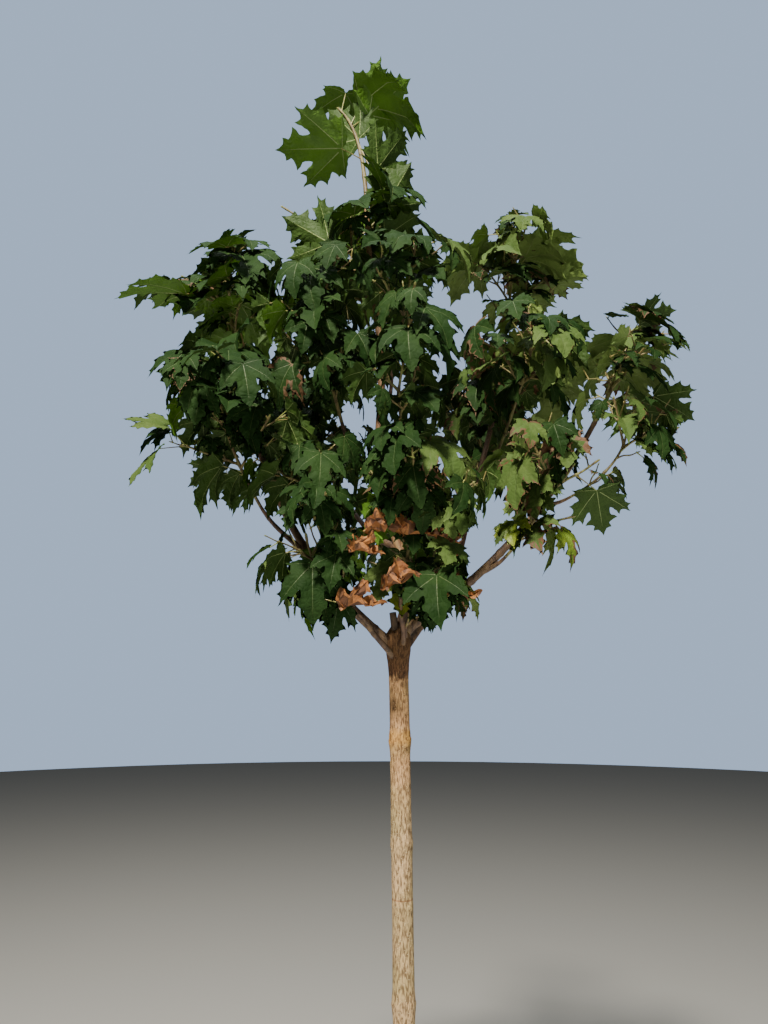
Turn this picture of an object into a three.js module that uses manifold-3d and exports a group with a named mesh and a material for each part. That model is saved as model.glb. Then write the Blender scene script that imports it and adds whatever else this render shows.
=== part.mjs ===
// A young maple tree, rooted in the ground, as a nursery grows it: one clear stem, a knuckle where it was
// cut back, and a crown of boughs that sweep out and up from there. Millimetres, +Z up. The origin is the
// middle of the flat cut where the stem leaves the ground, and the crown is seen from -Y.
//
// Limbs are tapered tubes bent along curves. Each mass of foliage grows by one rule: a stem goes on from a
// bough's end, carries leaves in crossed pairs and shorter twigs that do the same, and keeps every leaf that
// fits in the mass's own space.
import * as THREE from 'three';
import { mergeVertices } from 'three/addons/utils/BufferGeometryUtils.js';
import Module from 'manifold-3d';

const wasm = await Module();
wasm.setup();

// Driving sizes of the trunk
const TRUNK_HEIGHT = 1692; // ground to the top of the knuckle
const TRUNK_RADIUS_LOW = 19;
const TRUNK_RADIUS_HIGH = 16.5;
const TRUNK_LEAN = -4; // sideways, from foot to knuckle
const TRUNK_BOW = 6.5;
const FLARE_SWELL = 11; // how far the root flare stands out at the ground
const FLARE_HEIGHT = 42;
const FLARE_LOBES = 5;
const FLARE_LOBE_SHARE = 0.16;
const KNUCKLE = { z: 1655, swell: 5.5, height: 34 };
const OLD_NODES = [ // healed rings left by shoots that were rubbed off
  { z: 520, swell: 1.6, height: 16 },
  { z: 812, swell: 1.4, height: 14 },
  { z: 1093, swell: 2.0, height: 16 },
  { z: 1330, swell: 1.5, height: 13 },
  { z: 1493, swell: 2.2, height: 15 },
];
const STUBS = [ // pruned ends on the knuckle
  { foot: [-7, -8, 1665], tip: [-13, -17, 1706], radius: 6.5 },
  { foot: [4, -9, 1668], tip: [7, -19, 1712], radius: 7 },
];

// Driving sizes of the limbs
const GAP = 0.3; // between touching pieces
const CUT_GAP = 0.4; // by which a limb's radius grows where a later limb is cut to fit it
const LIMB_WAVES = { sway: 7, waves: 1.6, fade: 1 };
const LEADER = { // the middle shoot that carries on the stem's line
  end: [-61, 0, 2500], sway: 40, waves: 1.9, fade: 3, foot: 9.5, tip: 4.6,
};

// Driving sizes of the foliage
const INTERNODE = 66; // between leaf pairs along a stem
const TWIG_SHARE = 0.66; // a side twig's length, as a share of its mass's reach
const CREST_NODE = 0.985; // share of a stem's length that carries its highest pair
const BESIDE = 0.5; // turn from a twig to the leaf below it
const YOUNG = 0.8; // size of the leaves at a tip, as a share of the others'
const CREST_RISE = 0.46; // where a mass's stem ends above its heart, as a share of its rise
const CREST_DRIFT = 0.25; // and how much further out, as a share of the way from its foot to its heart
const TWIG_NODES = [0.95, 0.52]; // shares of a twig's length that carry a pair of leaves
const SINK = 4; // how deep a twig's last leaf is rooted in it
const STAGGER = 7; // how far one leaf of a pair stands below the other
const TWIG_SPREAD = 56; // degrees between a twig and its stem
const TWIG_RADIUS = 2.5;
const STEM_TIP_RADIUS = 1.9;
const LEAF_LENGTH = 108; // the blade, from the end of its stalk to the tip of its middle lobe
const STALK_SHARE = 0.42; // the stalk's length, as a share of the blade's
const BLADE_THICKNESS = 0.0125; // as a share of the blade's length
const STALK_RADIUS = 1.05;
const LEAF_CLEARANCE = 15; // between sample points of two blades
const LIMB_CLEARANCE = 7; // between a blade's sample points and a limb's bark
const EDGE_CLEARANCE = 3; // between a blade's edge and a limb's bark
const SPACE_MARGIN = 2.5; // between a leaf and the edge of its mass's space
const TRIES = 11; // ways in which a leaf may be turned before it is left out
const SLACKS = [0.35, 0.3, 0.22, 0.12, 0.05]; // how far a surface may shift as its slivers are merged
const LIMB_SLACK = 0.07;
const SEED = 20231;

// Each mass of foliage: its own space is the part of a spheroid round its heart that lies nearer to it than
// to its neighbours. `reach` is the spheroid's radius and `rise` its half height. Its bough springs from a
// limb at a share of that limb's length, `sweep` and `lift` say how far out and up the bough has bent by
// its middle, and `foot` is the bough's radius there. `hang` is how far the leaves droop, in degrees.
// `entry` is how far from the heart the bough ends, as a share of the reach. `pairs` and `twigs` count the
// stem's nodes and the uppermost of them that carry twigs, and `size` is how large its leaves grow.
const MASSES = [
  { name: 'tip', from: 'leader', heart: [-109, 19, 2665],
    reach: 183, rise: 159, hang: 20, twigs: 0, size: 1.28, pairs: 5 },
  { name: 'collar', from: 'leader', at: 0.62, heart: [-85, 3, 2403],
    reach: 199, rise: 147, sweep: 0.6, lift: 0.3, foot: 4.2, hang: 29 },
  { name: 'left_top', from: 'trunk', at: 0.972, heart: [-321, 7, 2315],
    reach: 202, rise: 134, sweep: 0.86, lift: 0.3, foot: 9, hang: 18 },
  { name: 'left_outer', from: 'left_top', at: 0.42, heart: [-299, -82, 2048],
    reach: 200, rise: 205, sweep: 0.7, lift: 0.2, foot: 5.5, hang: 38 },
  { name: 'left_inner', from: 'leader', at: 0.3, heart: [-140, -95, 2195],
    reach: 192, rise: 185, sweep: 0.7, lift: 0.3, foot: 6, hang: 46 },
  { name: 'left_low', from: 'trunk', at: 0.958, heart: [-160, -101, 1902],
    reach: 169, rise: 157, sweep: 0.6, lift: 0.3, foot: 5.5, hang: 47 },
  { name: 'skirt', from: 'left_low', at: 0.42, heart: [-140, -92, 1769],
    reach: 157, rise: 119, sweep: 0.5, lift: 0.6, foot: 3.6, hang: 50, entry: 0.7, pairs: 4 },
  { name: 'front_high', from: 'leader', at: 0.5, heart: [17, -156, 2254],
    reach: 160, rise: 134, sweep: 0.7, lift: 0.3, foot: 4.5, hang: 33 },
  { name: 'middle', from: 'leader', at: 0.3, heart: [10, -155, 2085],
    reach: 180, rise: 150, sweep: 0.6, lift: 0.3, foot: 5, hang: 46 },
  { name: 'front_low', from: 'trunk', at: 0.966, heart: [13, -160, 1896],
    reach: 169, rise: 140, sweep: 0.5, lift: 0.3, foot: 5, hang: 50 },
  { name: 'knuckle', from: 'trunk', at: 0.978, heart: [36, -89, 1734],
    reach: 153, rise: 111, sweep: 0.5, lift: 0.3, foot: 4, hang: 47, entry: 0.5, pairs: 4 },
  { name: 'right_tall', from: 'leader', at: 0.09, heart: [226, 57, 2382],
    reach: 163, rise: 133, sweep: 0.82, lift: 0.32, foot: 7, hang: 16 },
  { name: 'right_mid', from: 'right_tall', at: 0.5, heart: [226, -83, 2130],
    reach: 191, rise: 152, sweep: 0.7, lift: 0.3, foot: 5, hang: 50 },
  { name: 'right_top', from: 'trunk', at: 0.987, heart: [414, -20, 2168],
    reach: 146, rise: 126, sweep: 0.64, lift: 0.32, foot: 8.5, hang: 14 },
  { name: 'right_outer', from: 'right_top', at: 0.66, heart: [384, -39, 2003],
    reach: 150, rise: 118, sweep: 0.7, lift: 0.1, foot: 4.5, hang: 45 },
  { name: 'right_low', from: 'right_top', at: 0.36, heart: [255, -95, 1902],
    reach: 178, rise: 150, sweep: 0.6, lift: 0.2, foot: 5, hang: 46 },
  { name: 'back_left', from: 'leader', at: 0.2, heart: [-170, 240, 2120],
    reach: 210, rise: 215, sweep: 0.75, lift: 0.3, foot: 6.5, hang: 36 },
  { name: 'back_right', from: 'trunk', at: 0.963, heart: [190, 235, 2140],
    reach: 205, rise: 205, sweep: 0.75, lift: 0.3, foot: 7, hang: 36 },
  { name: 'back_low', from: 'trunk', at: 0.972, heart: [10, 195, 1925],
    reach: 185, rise: 165, sweep: 0.7, lift: 0.3, foot: 6, hang: 40 },
];
const ENTRY = 0.86; // a bough ends where it is this share of the reach from its mass's heart
const BOUGH_TAPER = 0.52;

// A blade's outline on its right side, in shares of its length: across, along
const LOBES = [[0.01, 0], [0.46, 0.02], [0.58, 0.62], [0.18, 0.5], [0, 1]];
const BLADE_HEART = [0, 0.34];

const vec = (x, y, z) => new THREE.Vector3(x, y, z);
const UP = vec(0, 0, 1);
const STRAIGHT = { sway: 0, waves: 0, fade: 0 };
const FOLIAGE_FROM = 0.85; // share of the trunk's height above which leaves may be near it
const radians = THREE.MathUtils.degToRad;

// A fixed number from 0 to 1 for each set of whole numbers
function chance(...keys) {
  let mixed = SEED;
  for (const key of keys) {
    mixed = Math.imul(mixed ^ (key + 0x9e3779b9), 0x85ebca6b) >>> 0;
    mixed = (mixed ^ (mixed >>> 15)) >>> 0;
    mixed = Math.imul(mixed, 0xc2b2ae35) >>> 0;
    mixed = (mixed ^ (mixed >>> 13)) >>> 0;
  }
  return mixed / 4294967296;
}

const spread = (amount, ...keys) => amount * (2 * chance(...keys) - 1);

// A bough's line: one bend from start to end, with a sideways sway that fades
class LimbCurve extends THREE.Curve {
  constructor(start, bend, end, { sway, waves, fade }) {
    super();
    Object.assign(this, { start, bend, end, sway, waves, fade });
    this.side = vec(start.y - end.y, end.x - start.x, 0);
    this.side = this.side.length() < 20 ? vec(0, 1, 0) : this.side.normalize();
  }
  getPoint(t, target = new THREE.Vector3()) {
    const off = this.sway * Math.sin(2 * Math.PI * this.waves * t) * Math.exp(-this.fade * t);
    return target.copy(this.start).multiplyScalar((1 - t) ** 2)
      .addScaledVector(this.bend, 2 * t * (1 - t))
      .addScaledVector(this.end, t * t)
      .addScaledVector(this.side, off);
  }
  direction(t) {
    const step = 0.002;
    return this.getPoint(t + step).sub(this.getPoint(t - step)).normalize();
  }
}

// Two unit vectors across a direction
function across(direction, guide) {
  const first = guide.clone().cross(direction).normalize();
  return [first, direction.clone().cross(first)];
}

// A closed tube along a curve from share `from` to share `to`: a cylinder whose rings are moved and turned
function tube(curve, from, to, radiusAt, sides, rings) {
  const geometry = new THREE.CylinderGeometry(1, 1, 1, sides, rings);
  geometry.deleteAttribute('normal');
  geometry.deleteAttribute('uv');
  const chord = curve.getPoint(to).sub(curve.getPoint(from)).normalize();
  const guide = Math.abs(chord.y) < 0.75 ? vec(0, 1, 0) : vec(1, 0, 0);
  const spot = geometry.attributes.position;
  for (let i = 0; i < spot.count; i += 1) {
    const t = from + (to - from) * (spot.getY(i) + 0.5);
    const turn = Math.atan2(spot.getX(i), spot.getZ(i));
    const radius = Math.hypot(spot.getX(i), spot.getZ(i)) * radiusAt(t, turn);
    const [one, two] = across(curve.direction(t), guide);
    const at = curve.getPoint(t)
      .addScaledVector(one, radius * Math.sin(turn))
      .addScaledVector(two, -radius * Math.cos(turn));
    spot.setXYZ(i, at.x, at.y, at.z);
  }
  return mergeVertices(geometry, 1e-4);
}

// A geometry as a solid that can be joined and cut, facing out
function solid(geometry) {
  const triVerts = new Uint32Array(geometry.index.array);
  const vertProperties = new Float32Array(geometry.attributes.position.array);
  const made = new wasm.Manifold(new wasm.Mesh({ numProp: 3, vertProperties, triVerts }));
  if (made.volume() > 0) return made;
  for (let i = 0; i < triVerts.length; i += 3) {
    [triVerts[i + 1], triVerts[i + 2]] = [triVerts[i + 2], triVerts[i + 1]];
  }
  return new wasm.Manifold(new wasm.Mesh({ numProp: 3, vertProperties, triVerts }));
}

const largest = (made) => made.decompose().sort((a, b) => b.volume() - a.volume())[0];

// Whether a solid is pinched: some corners lie on one spot, and an edge there joins more than two faces
const SPOT = 0.001;
function pinched(made) {
  const { numProp, vertProperties, triVerts } = made.getMesh();
  const spots = new Map();
  const spotOf = [];
  for (let i = 0; i < vertProperties.length; i += numProp) {
    const key = Array.from(vertProperties.subarray(i, i + 3), (size) => Math.round(size / SPOT)).join();
    if (!spots.has(key)) spots.set(key, spots.size);
    spotOf.push(spots.get(key));
  }
  const edges = new Map();
  for (let i = 0; i < triVerts.length; i += 3) {
    const corners = [0, 1, 2].map((n) => spotOf[triVerts[i + n]]);
    if (new Set(corners).size < 3) return true;
    corners.forEach((corner, n) => {
      const edge = [corner, corners[(n + 1) % 3]].sort((one, two) => one - two).join();
      edges.set(edge, (edges.get(edge) ?? 0) + 1);
    });
  }
  return [...edges.values()].some((faces) => faces !== 2);
}

// A solid without its slivers and scraps: the most merging that pinches nothing
function tidied(made) {
  for (const slack of SLACKS) {
    const merged = largest(made.asOriginal().simplify(slack));
    if (!pinched(merged)) return merged;
  }
  return largest(made);
}

function geometryOf(made) {
  const { numProp, numVert, vertProperties, triVerts } = made.getMesh();
  const spots = new Float32Array(numVert * 3);
  for (let i = 0; i < numVert; i += 1) {
    spots.set(vertProperties.subarray(i * numProp, i * numProp + 3), i * 3);
  }
  return new THREE.BufferGeometry()
    .setAttribute('position', new THREE.BufferAttribute(spots, 3))
    .setIndex(new THREE.BufferAttribute(triVerts, 1));
}

const COLOURS = {
  bark: { color: 0x8a6f52, roughness: 0.9, metalness: 0 },
  shoot: { color: 0x7a4a34, roughness: 0.7, metalness: 0 },
  leaf: { color: 0x2c5423, roughness: 0.55, metalness: 0 },
};
const finishes = Object.fromEntries(Object.entries(COLOURS)
  .map(([name, look]) => [name, new THREE.MeshStandardMaterial({ name, ...look })]));

function named(name, made, finish) {
  const mesh = new THREE.Mesh(geometryOf(made), finishes[finish]);
  mesh.name = name;
  return mesh;
}

// The stem, with its flare, healed nodes, knuckle and pruned stubs
function trunkRadius(t, turn) {
  const z = t * TRUNK_HEIGHT;
  const bell = (mark) => mark.swell * Math.exp(-(((z - mark.z) / mark.height) ** 2));
  const flare = FLARE_SWELL * Math.exp(-z / FLARE_HEIGHT);
  const lobes = 1 + FLARE_LOBE_SHARE * Math.cos(FLARE_LOBES * turn) * Math.exp(-z / FLARE_HEIGHT);
  const swelling = [KNUCKLE, ...OLD_NODES].reduce((sum, mark) => sum + bell(mark), 0);
  const dome = Math.sqrt(Math.max(0.18, Math.min(1, (TRUNK_HEIGHT - z) / 22)));
  const plain = THREE.MathUtils.lerp(TRUNK_RADIUS_LOW, TRUNK_RADIUS_HIGH, t);
  return (plain + flare) * lobes * dome + swelling * dome;
}

const trunkCurve = new LimbCurve(vec(0, 0, 0), vec(TRUNK_LEAN / 2, 0, TRUNK_HEIGHT / 2),
  vec(TRUNK_LEAN, 0, TRUNK_HEIGHT), { sway: TRUNK_BOW, waves: 0.5, fade: 0 });
trunkCurve.side = vec(1, 0, 0);

function trunkSolid(margin) {
  const sides = 12;
  const bends = [0, 16, 40, 90, 260, 500, 520, 540, 795, 812, 829, 1074, 1093, 1112, 1315, 1330, 1345,
    1476, 1493, 1510, 1612, 1636, 1658, 1676, 1686, TRUNK_HEIGHT];
  const rings = bends.length - 1;
  const geometry = new THREE.CylinderGeometry(1, 1, 1, sides, rings);
  geometry.deleteAttribute('normal');
  geometry.deleteAttribute('uv');
  const spot = geometry.attributes.position;
  for (let i = 0; i < spot.count; i += 1) {
    const t = bends[Math.round((spot.getY(i) + 0.5) * rings)] / TRUNK_HEIGHT;
    const turn = Math.atan2(spot.getX(i), spot.getZ(i));
    const radius = Math.hypot(spot.getX(i), spot.getZ(i)) * (trunkRadius(t, turn) + margin);
    const at = trunkCurve.getPoint(t);
    const lift = t === 1 ? margin : 0;
    spot.setXYZ(i, at.x + radius * Math.cos(turn), at.y + radius * Math.sin(turn), t * TRUNK_HEIGHT + lift);
  }
  return solid(mergeVertices(geometry, 1e-4));
}

function straight(from, to) {
  return new LimbCurve(from, from.clone().lerp(to, 0.5), to, STRAIGHT);
}

// The pruned ends, each wider and longer by a margin
function stubSolids(margin) {
  return STUBS.map(({ foot, tip, radius }) => {
    const line = straight(vec(...foot), vec(...tip));
    return solid(tube(line, 0, 1 + margin / 40, () => radius + margin, 9, 1));
  });
}

// The limbs: the leader, and a bough for each other mass
const limbs = new Map();
limbs.set('trunk', { curve: trunkCurve, end: 1, radiusAt: (t) => trunkRadius(t, 0) });

function addLeader() {
  const start = trunkCurve.getPoint(0.975);
  const end = vec(...LEADER.end);
  const curve = new LimbCurve(start, start.clone().lerp(end, 0.5), end, LEADER);
  curve.side = vec(1, 0, 0);
  limbs.set('leader', {
    curve, end: 1, sides: 7, rings: 12, radiusAt: (t) => THREE.MathUtils.lerp(LEADER.foot, LEADER.tip, t),
  });
}

function addBough(mass) {
  const parent = limbs.get(mass.from);
  const start = parent.curve.getPoint(mass.at * parent.end);
  const heart = vec(...mass.heart);
  const bend = vec(THREE.MathUtils.lerp(start.x, heart.x, mass.sweep),
    THREE.MathUtils.lerp(start.y, heart.y, mass.sweep), THREE.MathUtils.lerp(start.z, heart.z, mass.lift));
  const curve = new LimbCurve(start, bend, heart, LIMB_WAVES);
  let end = 1;
  while (end > 0.3 && curve.getPoint(end).distanceTo(heart) < (mass.entry ?? ENTRY) * mass.reach) end -= 0.01;
  limbs.set(mass.name, {
    curve, end, sides: 6, rings: 6,
    radiusAt: (t) => THREE.MathUtils.lerp(mass.foot, mass.foot * BOUGH_TAPER, t / end),
  });
}

const limbSolids = new Map();

// A limb is cut clear of every limb that was there before it
function limbSolid(name) {
  const limb = limbs.get(name);
  let made = solid(tube(limb.curve, 0, limb.end, limb.radiusAt, limb.sides, limb.rings));
  const widened = (t) => limb.radiusAt(t) + CUT_GAP;
  const grown = solid(tube(limb.curve, 0, limb.end, widened, limb.sides, limb.rings));
  for (const other of limbSolids.values()) made = made.subtract(other.grown);
  limbSolids.set(name, { made: largest(made).asOriginal().simplify(LIMB_SLACK), grown });
}

const wholeTrunk = (margin) => wasm.Manifold.union([trunkSolid(margin), ...stubSolids(margin)]);
limbSolids.set('trunk', { made: wholeTrunk(0), grown: wholeTrunk(CUT_GAP) });
addLeader();
MASSES.filter((mass) => mass.at).forEach(addBough);
for (const name of limbs.keys()) if (name !== 'trunk') limbSolid(name);

// Each mass's stem goes on from its bough through its heart to a crest, thinning out as it goes
function stemOf(mass, index) {
  const limb = limbs.get(mass.at ? mass.name : mass.from);
  const onward = limb.curve.direction(limb.end);
  const start = limb.curve.getPoint(limb.end).addScaledVector(onward, GAP);
  const heart = vec(...mass.heart);
  const crest = heart.clone().addScaledVector(UP, mass.rise * CREST_RISE)
    .add(heart.clone().sub(start).setZ(0).multiplyScalar(CREST_DRIFT));
  const bend = start.clone().addScaledVector(onward, start.distanceTo(heart));
  const curve = new LimbCurve(start, bend, crest, STRAIGHT);
  const radius = limb.radiusAt(limb.end);
  const radiusAt = (t) => THREE.MathUtils.lerp(radius, STEM_TIP_RADIUS, t);
  return { index, curve, end: 1, radiusAt };
}

const stems = MASSES.map(stemOf);

// Points along the limbs and stems with the bark's radius there, for keeping leaves off them, and their
// middle lines, so that no blade is pierced by one
const BARK_STEP = 9;
const barkPoints = [];
const barkLines = [];
for (const { curve, end, radiusAt, index } of [...limbs.values(), ...stems]) {
  const from = curve === trunkCurve ? FOLIAGE_FROM : 0;
  const steps = Math.ceil(curve.getLength() * (end - from) / BARK_STEP);
  const marks = Array.from({ length: steps + 1 }, (none, i) => from + (end - from) * i / steps);
  const points = marks.map((t) => curve.getPoint(t));
  points.forEach((at, i) => barkPoints.push({ at, radius: radiusAt(marks[i], 0), index }));
  for (let i = 0; i < steps; i += 3) barkLines.push([points[i], points[Math.min(i + 3, steps)]]);
}

const offBark = (bark, point, clearance) => bark
  .every(({ at, radius }) => at.distanceTo(point) > radius + clearance);

// Whether a straight piece keeps off the bark all along
const line = new THREE.Line3();
const nearest = vec(0, 0, 0);
function lineOffBark(bark, from, to, clearance) {
  line.set(from, to);
  return bark.every(({ at, radius }) => line.closestPointToPoint(at, true, nearest)
    .distanceTo(at) > radius + clearance);
}

// A mass's own space
function inSpace(mass, point, margin) {
  const heart = vec(...mass.heart);
  const off = point.clone().sub(heart);
  const flat = Math.hypot(off.x, off.y) / (mass.reach - margin);
  if (flat ** 2 + (off.z / (mass.rise - margin)) ** 2 > 1) return false;
  return MASSES.every((other) => {
    if (other === mass) return true;
    const rival = vec(...other.heart);
    const nearer = point.distanceToSquared(rival) - other.reach ** 2 - off.lengthSq() + mass.reach ** 2;
    return nearer > 2 * margin * heart.distanceTo(rival);
  });
}

// A blade's place: its base, the ways along, across and out of it, and how it folds and droops
function bladePoint(leaf, u, v) {
  const lift = leaf.fold * Math.abs(u) - leaf.curl * (u * u + v * v);
  return leaf.base.clone().addScaledVector(leaf.side, u * leaf.length)
    .addScaledVector(leaf.along, v * leaf.length).addScaledVector(leaf.out, lift * leaf.length);
}

function bladeOutline() {
  const right = LOBES;
  const left = LOBES.slice(0, -1).reverse().map(([u, v]) => [-u, v]);
  return [...right, ...left];
}

// Whether any of some segments crosses any of some triangles
const ray = new THREE.Ray();
const hit = vec(0, 0, 0);
function anyCross(segments, triangles) {
  return segments.some(([from, to]) => {
    ray.origin.copy(from);
    ray.direction.copy(to).sub(from);
    const length = ray.direction.length();
    ray.direction.divideScalar(length);
    return triangles.some(([a, b, c]) => ray.intersectTriangle(a, b, c, false, hit) !== null
      && hit.distanceTo(from) < length);
  });
}

// Places on a blade that are kept away from other blades, and more of them that are kept off the bark
const SAMPLES = [[0, 0.5], [0, 0.88], [0.36, 0.4], [-0.36, 0.4], [0.26, 0.05], [-0.26, 0.05], [0, 0.15]];
const FINE_SAMPLES = [...SAMPLES, [0, 0.33], [0, 0.7], [0.2, 0.22], [-0.2, 0.22], [0.19, 0.4], [-0.19, 0.4],
  [0.4, 0.2], [-0.4, 0.2], [0.5, 0.5], [-0.5, 0.5]];

// One way in which a leaf may grow from a node
function leafAt(mass, node, axis, azimuth, size, keys, attempt) {
  const [one, two] = across(axis, Math.abs(axis.z) < 0.9 ? UP : vec(0, 1, 0));
  const turn = azimuth + spread(radians(8 + 24 * attempt), ...keys, attempt, 1);
  const outward = one.clone().multiplyScalar(Math.cos(turn)).addScaledVector(two, Math.sin(turn));
  const open = radians(58 + spread(14, ...keys, attempt, 2));
  const stalk = axis.clone().multiplyScalar(Math.cos(open)).addScaledVector(outward, Math.sin(open));
  stalk.z += 0.12 + spread(0.1, ...keys, attempt, 3);
  stalk.normalize();
  const length = size * (1 - 0.05 * attempt) * (1 + spread(0.14, ...keys, 4));
  const reach = length * STALK_SHARE * (1 - 0.07 * attempt) * (1 + spread(0.25, ...keys, attempt, 5));
  const heading = vec(stalk.x, stalk.y, 0);
  const away = node.clone().sub(vec(...mass.heart)).setZ(0);
  if (away.length() > 1) heading.addScaledVector(away.normalize(), 0.25);
  const droop = radians(mass.hang + spread(26, ...keys, attempt, 6));
  const along = heading.normalize().multiplyScalar(Math.cos(droop)).addScaledVector(UP, -Math.sin(droop));
  const side = along.clone().cross(UP).normalize();
  side.applyAxisAngle(along, radians(spread(30, ...keys, attempt, 7)));
  return {
    node, stalk, length, along, side, out: side.clone().cross(along),
    base: node.clone().addScaledVector(stalk, reach),
    fold: 0.12 + spread(0.1, ...keys, 8), curl: 0.16 + spread(0.1, ...keys, 9),
  };
}

function leafFits(mass, leaf, plant) {
  const samples = SAMPLES.map(([u, v]) => bladePoint(leaf, u, v));
  const edge = bladeOutline().map(([u, v]) => bladePoint(leaf, u, v));
  const next = edge.map((point, i) => edge[(i + 1) % edge.length]);
  if (![...edge, leaf.node].every((point) => inSpace(mass, point, SPACE_MARGIN))) return false;
  const fine = FINE_SAMPLES.map(([u, v]) => bladePoint(leaf, u, v));
  if (!fine.every((point) => offBark(plant.bark, point, LIMB_CLEARANCE))) return false;
  if (!edge.every((point, i) => lineOffBark(plant.bark, point, next[i], EDGE_CLEARANCE))) return false;
  if (!lineOffBark(plant.bark, leaf.node, leaf.base, STALK_RADIUS + 1)) return false;
  leaf.samples = samples;
  if (!plant.leaves.every((other) => other.samples
    .every((theirs) => samples.every((ours) => ours.distanceTo(theirs) > LEAF_CLEARANCE)))) return false;
  const middleOfBlade = bladePoint(leaf, ...BLADE_HEART);
  leaf.triangles = edge.map((point, i) => [middleOfBlade, point, next[i]]);
  leaf.segments = [[leaf.node.clone().lerp(leaf.base, 0.15), leaf.base],
    ...edge.map((point, i) => [point, next[i]]), ...edge.map((point) => [middleOfBlade, point])];
  return !anyCross(leaf.segments, plant.triangles) && !anyCross(plant.segments, leaf.triangles);
}

function growLeaf(mass, plant, node, axis, azimuth, size, keys) {
  for (let attempt = 0; attempt < TRIES; attempt += 1) {
    const leaf = leafAt(mass, node, axis, azimuth, size, keys, attempt);
    if (leafFits(mass, leaf, plant)) {
      plant.leaves.push(leaf);
      plant.triangles.push(...leaf.triangles);
      plant.segments.push(...leaf.segments);
      return;
    }
  }
}

// A twig: a straight shoot with leaves in crossed pairs and one at its tip
function growTwig(mass, plant, node, axis, azimuth, keys) {
  const [one, two] = across(axis, Math.abs(axis.z) < 0.9 ? UP : vec(0, 1, 0));
  const outward = one.clone().multiplyScalar(Math.cos(azimuth)).addScaledVector(two, Math.sin(azimuth));
  const open = radians(TWIG_SPREAD + spread(10, ...keys, 1));
  const way = axis.clone().multiplyScalar(Math.cos(open)).addScaledVector(outward, Math.sin(open));
  way.z += 0.2;
  way.normalize();
  let length = mass.reach * TWIG_SHARE * (1 + spread(0.25, ...keys, 2));
  const clear = () => {
    const end = node.clone().addScaledVector(way, length);
    return inSpace(mass, node, SPACE_MARGIN + TWIG_RADIUS) && inSpace(mass, end, SPACE_MARGIN + TWIG_RADIUS)
      && lineOffBark(plant.bark, node, end, TWIG_RADIUS + 1) && !anyCross([[node, end]], plant.triangles);
  };
  while (length > 24 && !clear()) length *= 0.8;
  if (length <= 24) return;
  const tip = node.clone().addScaledVector(way, length);
  plant.twigs.push({ node, tip });
  plant.segments.push([node, tip]);
  const last = tip.clone().addScaledVector(way, -SINK);
  growLeaf(mass, plant, last, way, 2 * Math.PI * chance(...keys, 3), YOUNG * LEAF_LENGTH, [...keys, 10]);
  for (const [place, share] of TWIG_NODES.entries()) {
    for (const half of [0, 1]) {
      const at = node.clone().lerp(tip, share - half * STAGGER / length);
      const turn = Math.PI * (half + 0.5 * place) + spread(0.4, ...keys, 4, place);
      growLeaf(mass, plant, at, way, turn, LEAF_LENGTH, [...keys, 20 + 2 * place + half]);
    }
  }
}

// A whole mass: its stem's twigs and leaves, from the crest down
function growMass(mass, index) {
  const { curve, radiusAt } = stems[index];
  const bark = barkPoints.filter((point) => point.index !== index);
  const plant = { curve, radiusAt, bark, segments: [...barkLines], triangles: [], twigs: [], leaves: [] };
  const pairs = mass.pairs ?? Math.max(3, Math.round(curve.getLength() / INTERNODE));
  const lowest = pairs - (mass.twigs ?? pairs - 1);
  const full = LEAF_LENGTH * (mass.size ?? 1);
  const phase = chance(index, 0) * Math.PI;
  for (let pair = pairs; pair >= 1; pair -= 1) {
    const node = curve.getPoint(pair / pairs * CREST_NODE);
    const axis = curve.direction(pair / pairs * CREST_NODE);
    for (const half of [0, 1]) {
      const azimuth = phase + Math.PI * (half + 0.5 * pair);
      const spot = node.clone().addScaledVector(axis, -half * STAGGER);
      const lower = node.clone().addScaledVector(axis, -(half + 2) * STAGGER);
      if (pair < pairs && pair >= lowest) growTwig(mass, plant, spot, axis, azimuth, [index, pair, half]);
      const beside = azimuth + (pair < pairs ? BESIDE : 0);
      growLeaf(mass, plant, lower, axis, beside, full, [index, pair, half, 90]);
      if (pair < pairs) continue;
      growLeaf(mass, plant, spot, axis, azimuth + Math.PI / 2, YOUNG * full, [index, pair, half, 91]);
    }
  }
  return plant;
}

// A leaf as one closed solid: a thin blade with a ridge at its heart, and a three-sided stalk
function leafSolid(leaf) {
  const outline = bladeOutline();
  const count = outline.length;
  const spots = outline.map(([u, v]) => bladePoint(leaf, u, v));
  const thick = leaf.out.clone().multiplyScalar(leaf.length * BLADE_THICKNESS / 2);
  const heart = bladePoint(leaf, ...BLADE_HEART);
  const mitre = leaf.stalk.clone().add(leaf.along).normalize();
  const under = leaf.side.clone().cross(mitre).multiplyScalar(-1.5 * STALK_RADIUS);
  const below = leaf.side.clone().cross(leaf.stalk).normalize().multiplyScalar(-1.5 * STALK_RADIUS);
  const [top, bottom, keel, rootRight, rootLeft, rootKeel] = [0, 1, 2, 3, 4, 5].map((n) => count + n);
  spots.push(heart.clone().add(thick), heart.clone().sub(thick), leaf.base.clone().add(under),
    leaf.node.clone().addScaledVector(leaf.side, STALK_RADIUS),
    leaf.node.clone().addScaledVector(leaf.side, -STALK_RADIUS), leaf.node.clone().add(below));
  const right = 0;
  const left = count - 1;
  const faces = [];
  for (let i = 0; i < left; i += 1) faces.push(top, i, i + 1, bottom, i + 1, i);
  faces.push(top, left, right, bottom, keel, left, bottom, right, keel);
  faces.push(right, left, rootLeft, right, rootLeft, rootRight);
  faces.push(left, keel, rootKeel, left, rootKeel, rootLeft);
  faces.push(keel, right, rootRight, keel, rootRight, rootKeel);
  faces.push(rootRight, rootLeft, rootKeel);
  const geometry = new THREE.BufferGeometry().setFromPoints(spots).setIndex(faces);
  return solid(geometry);
}

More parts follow.
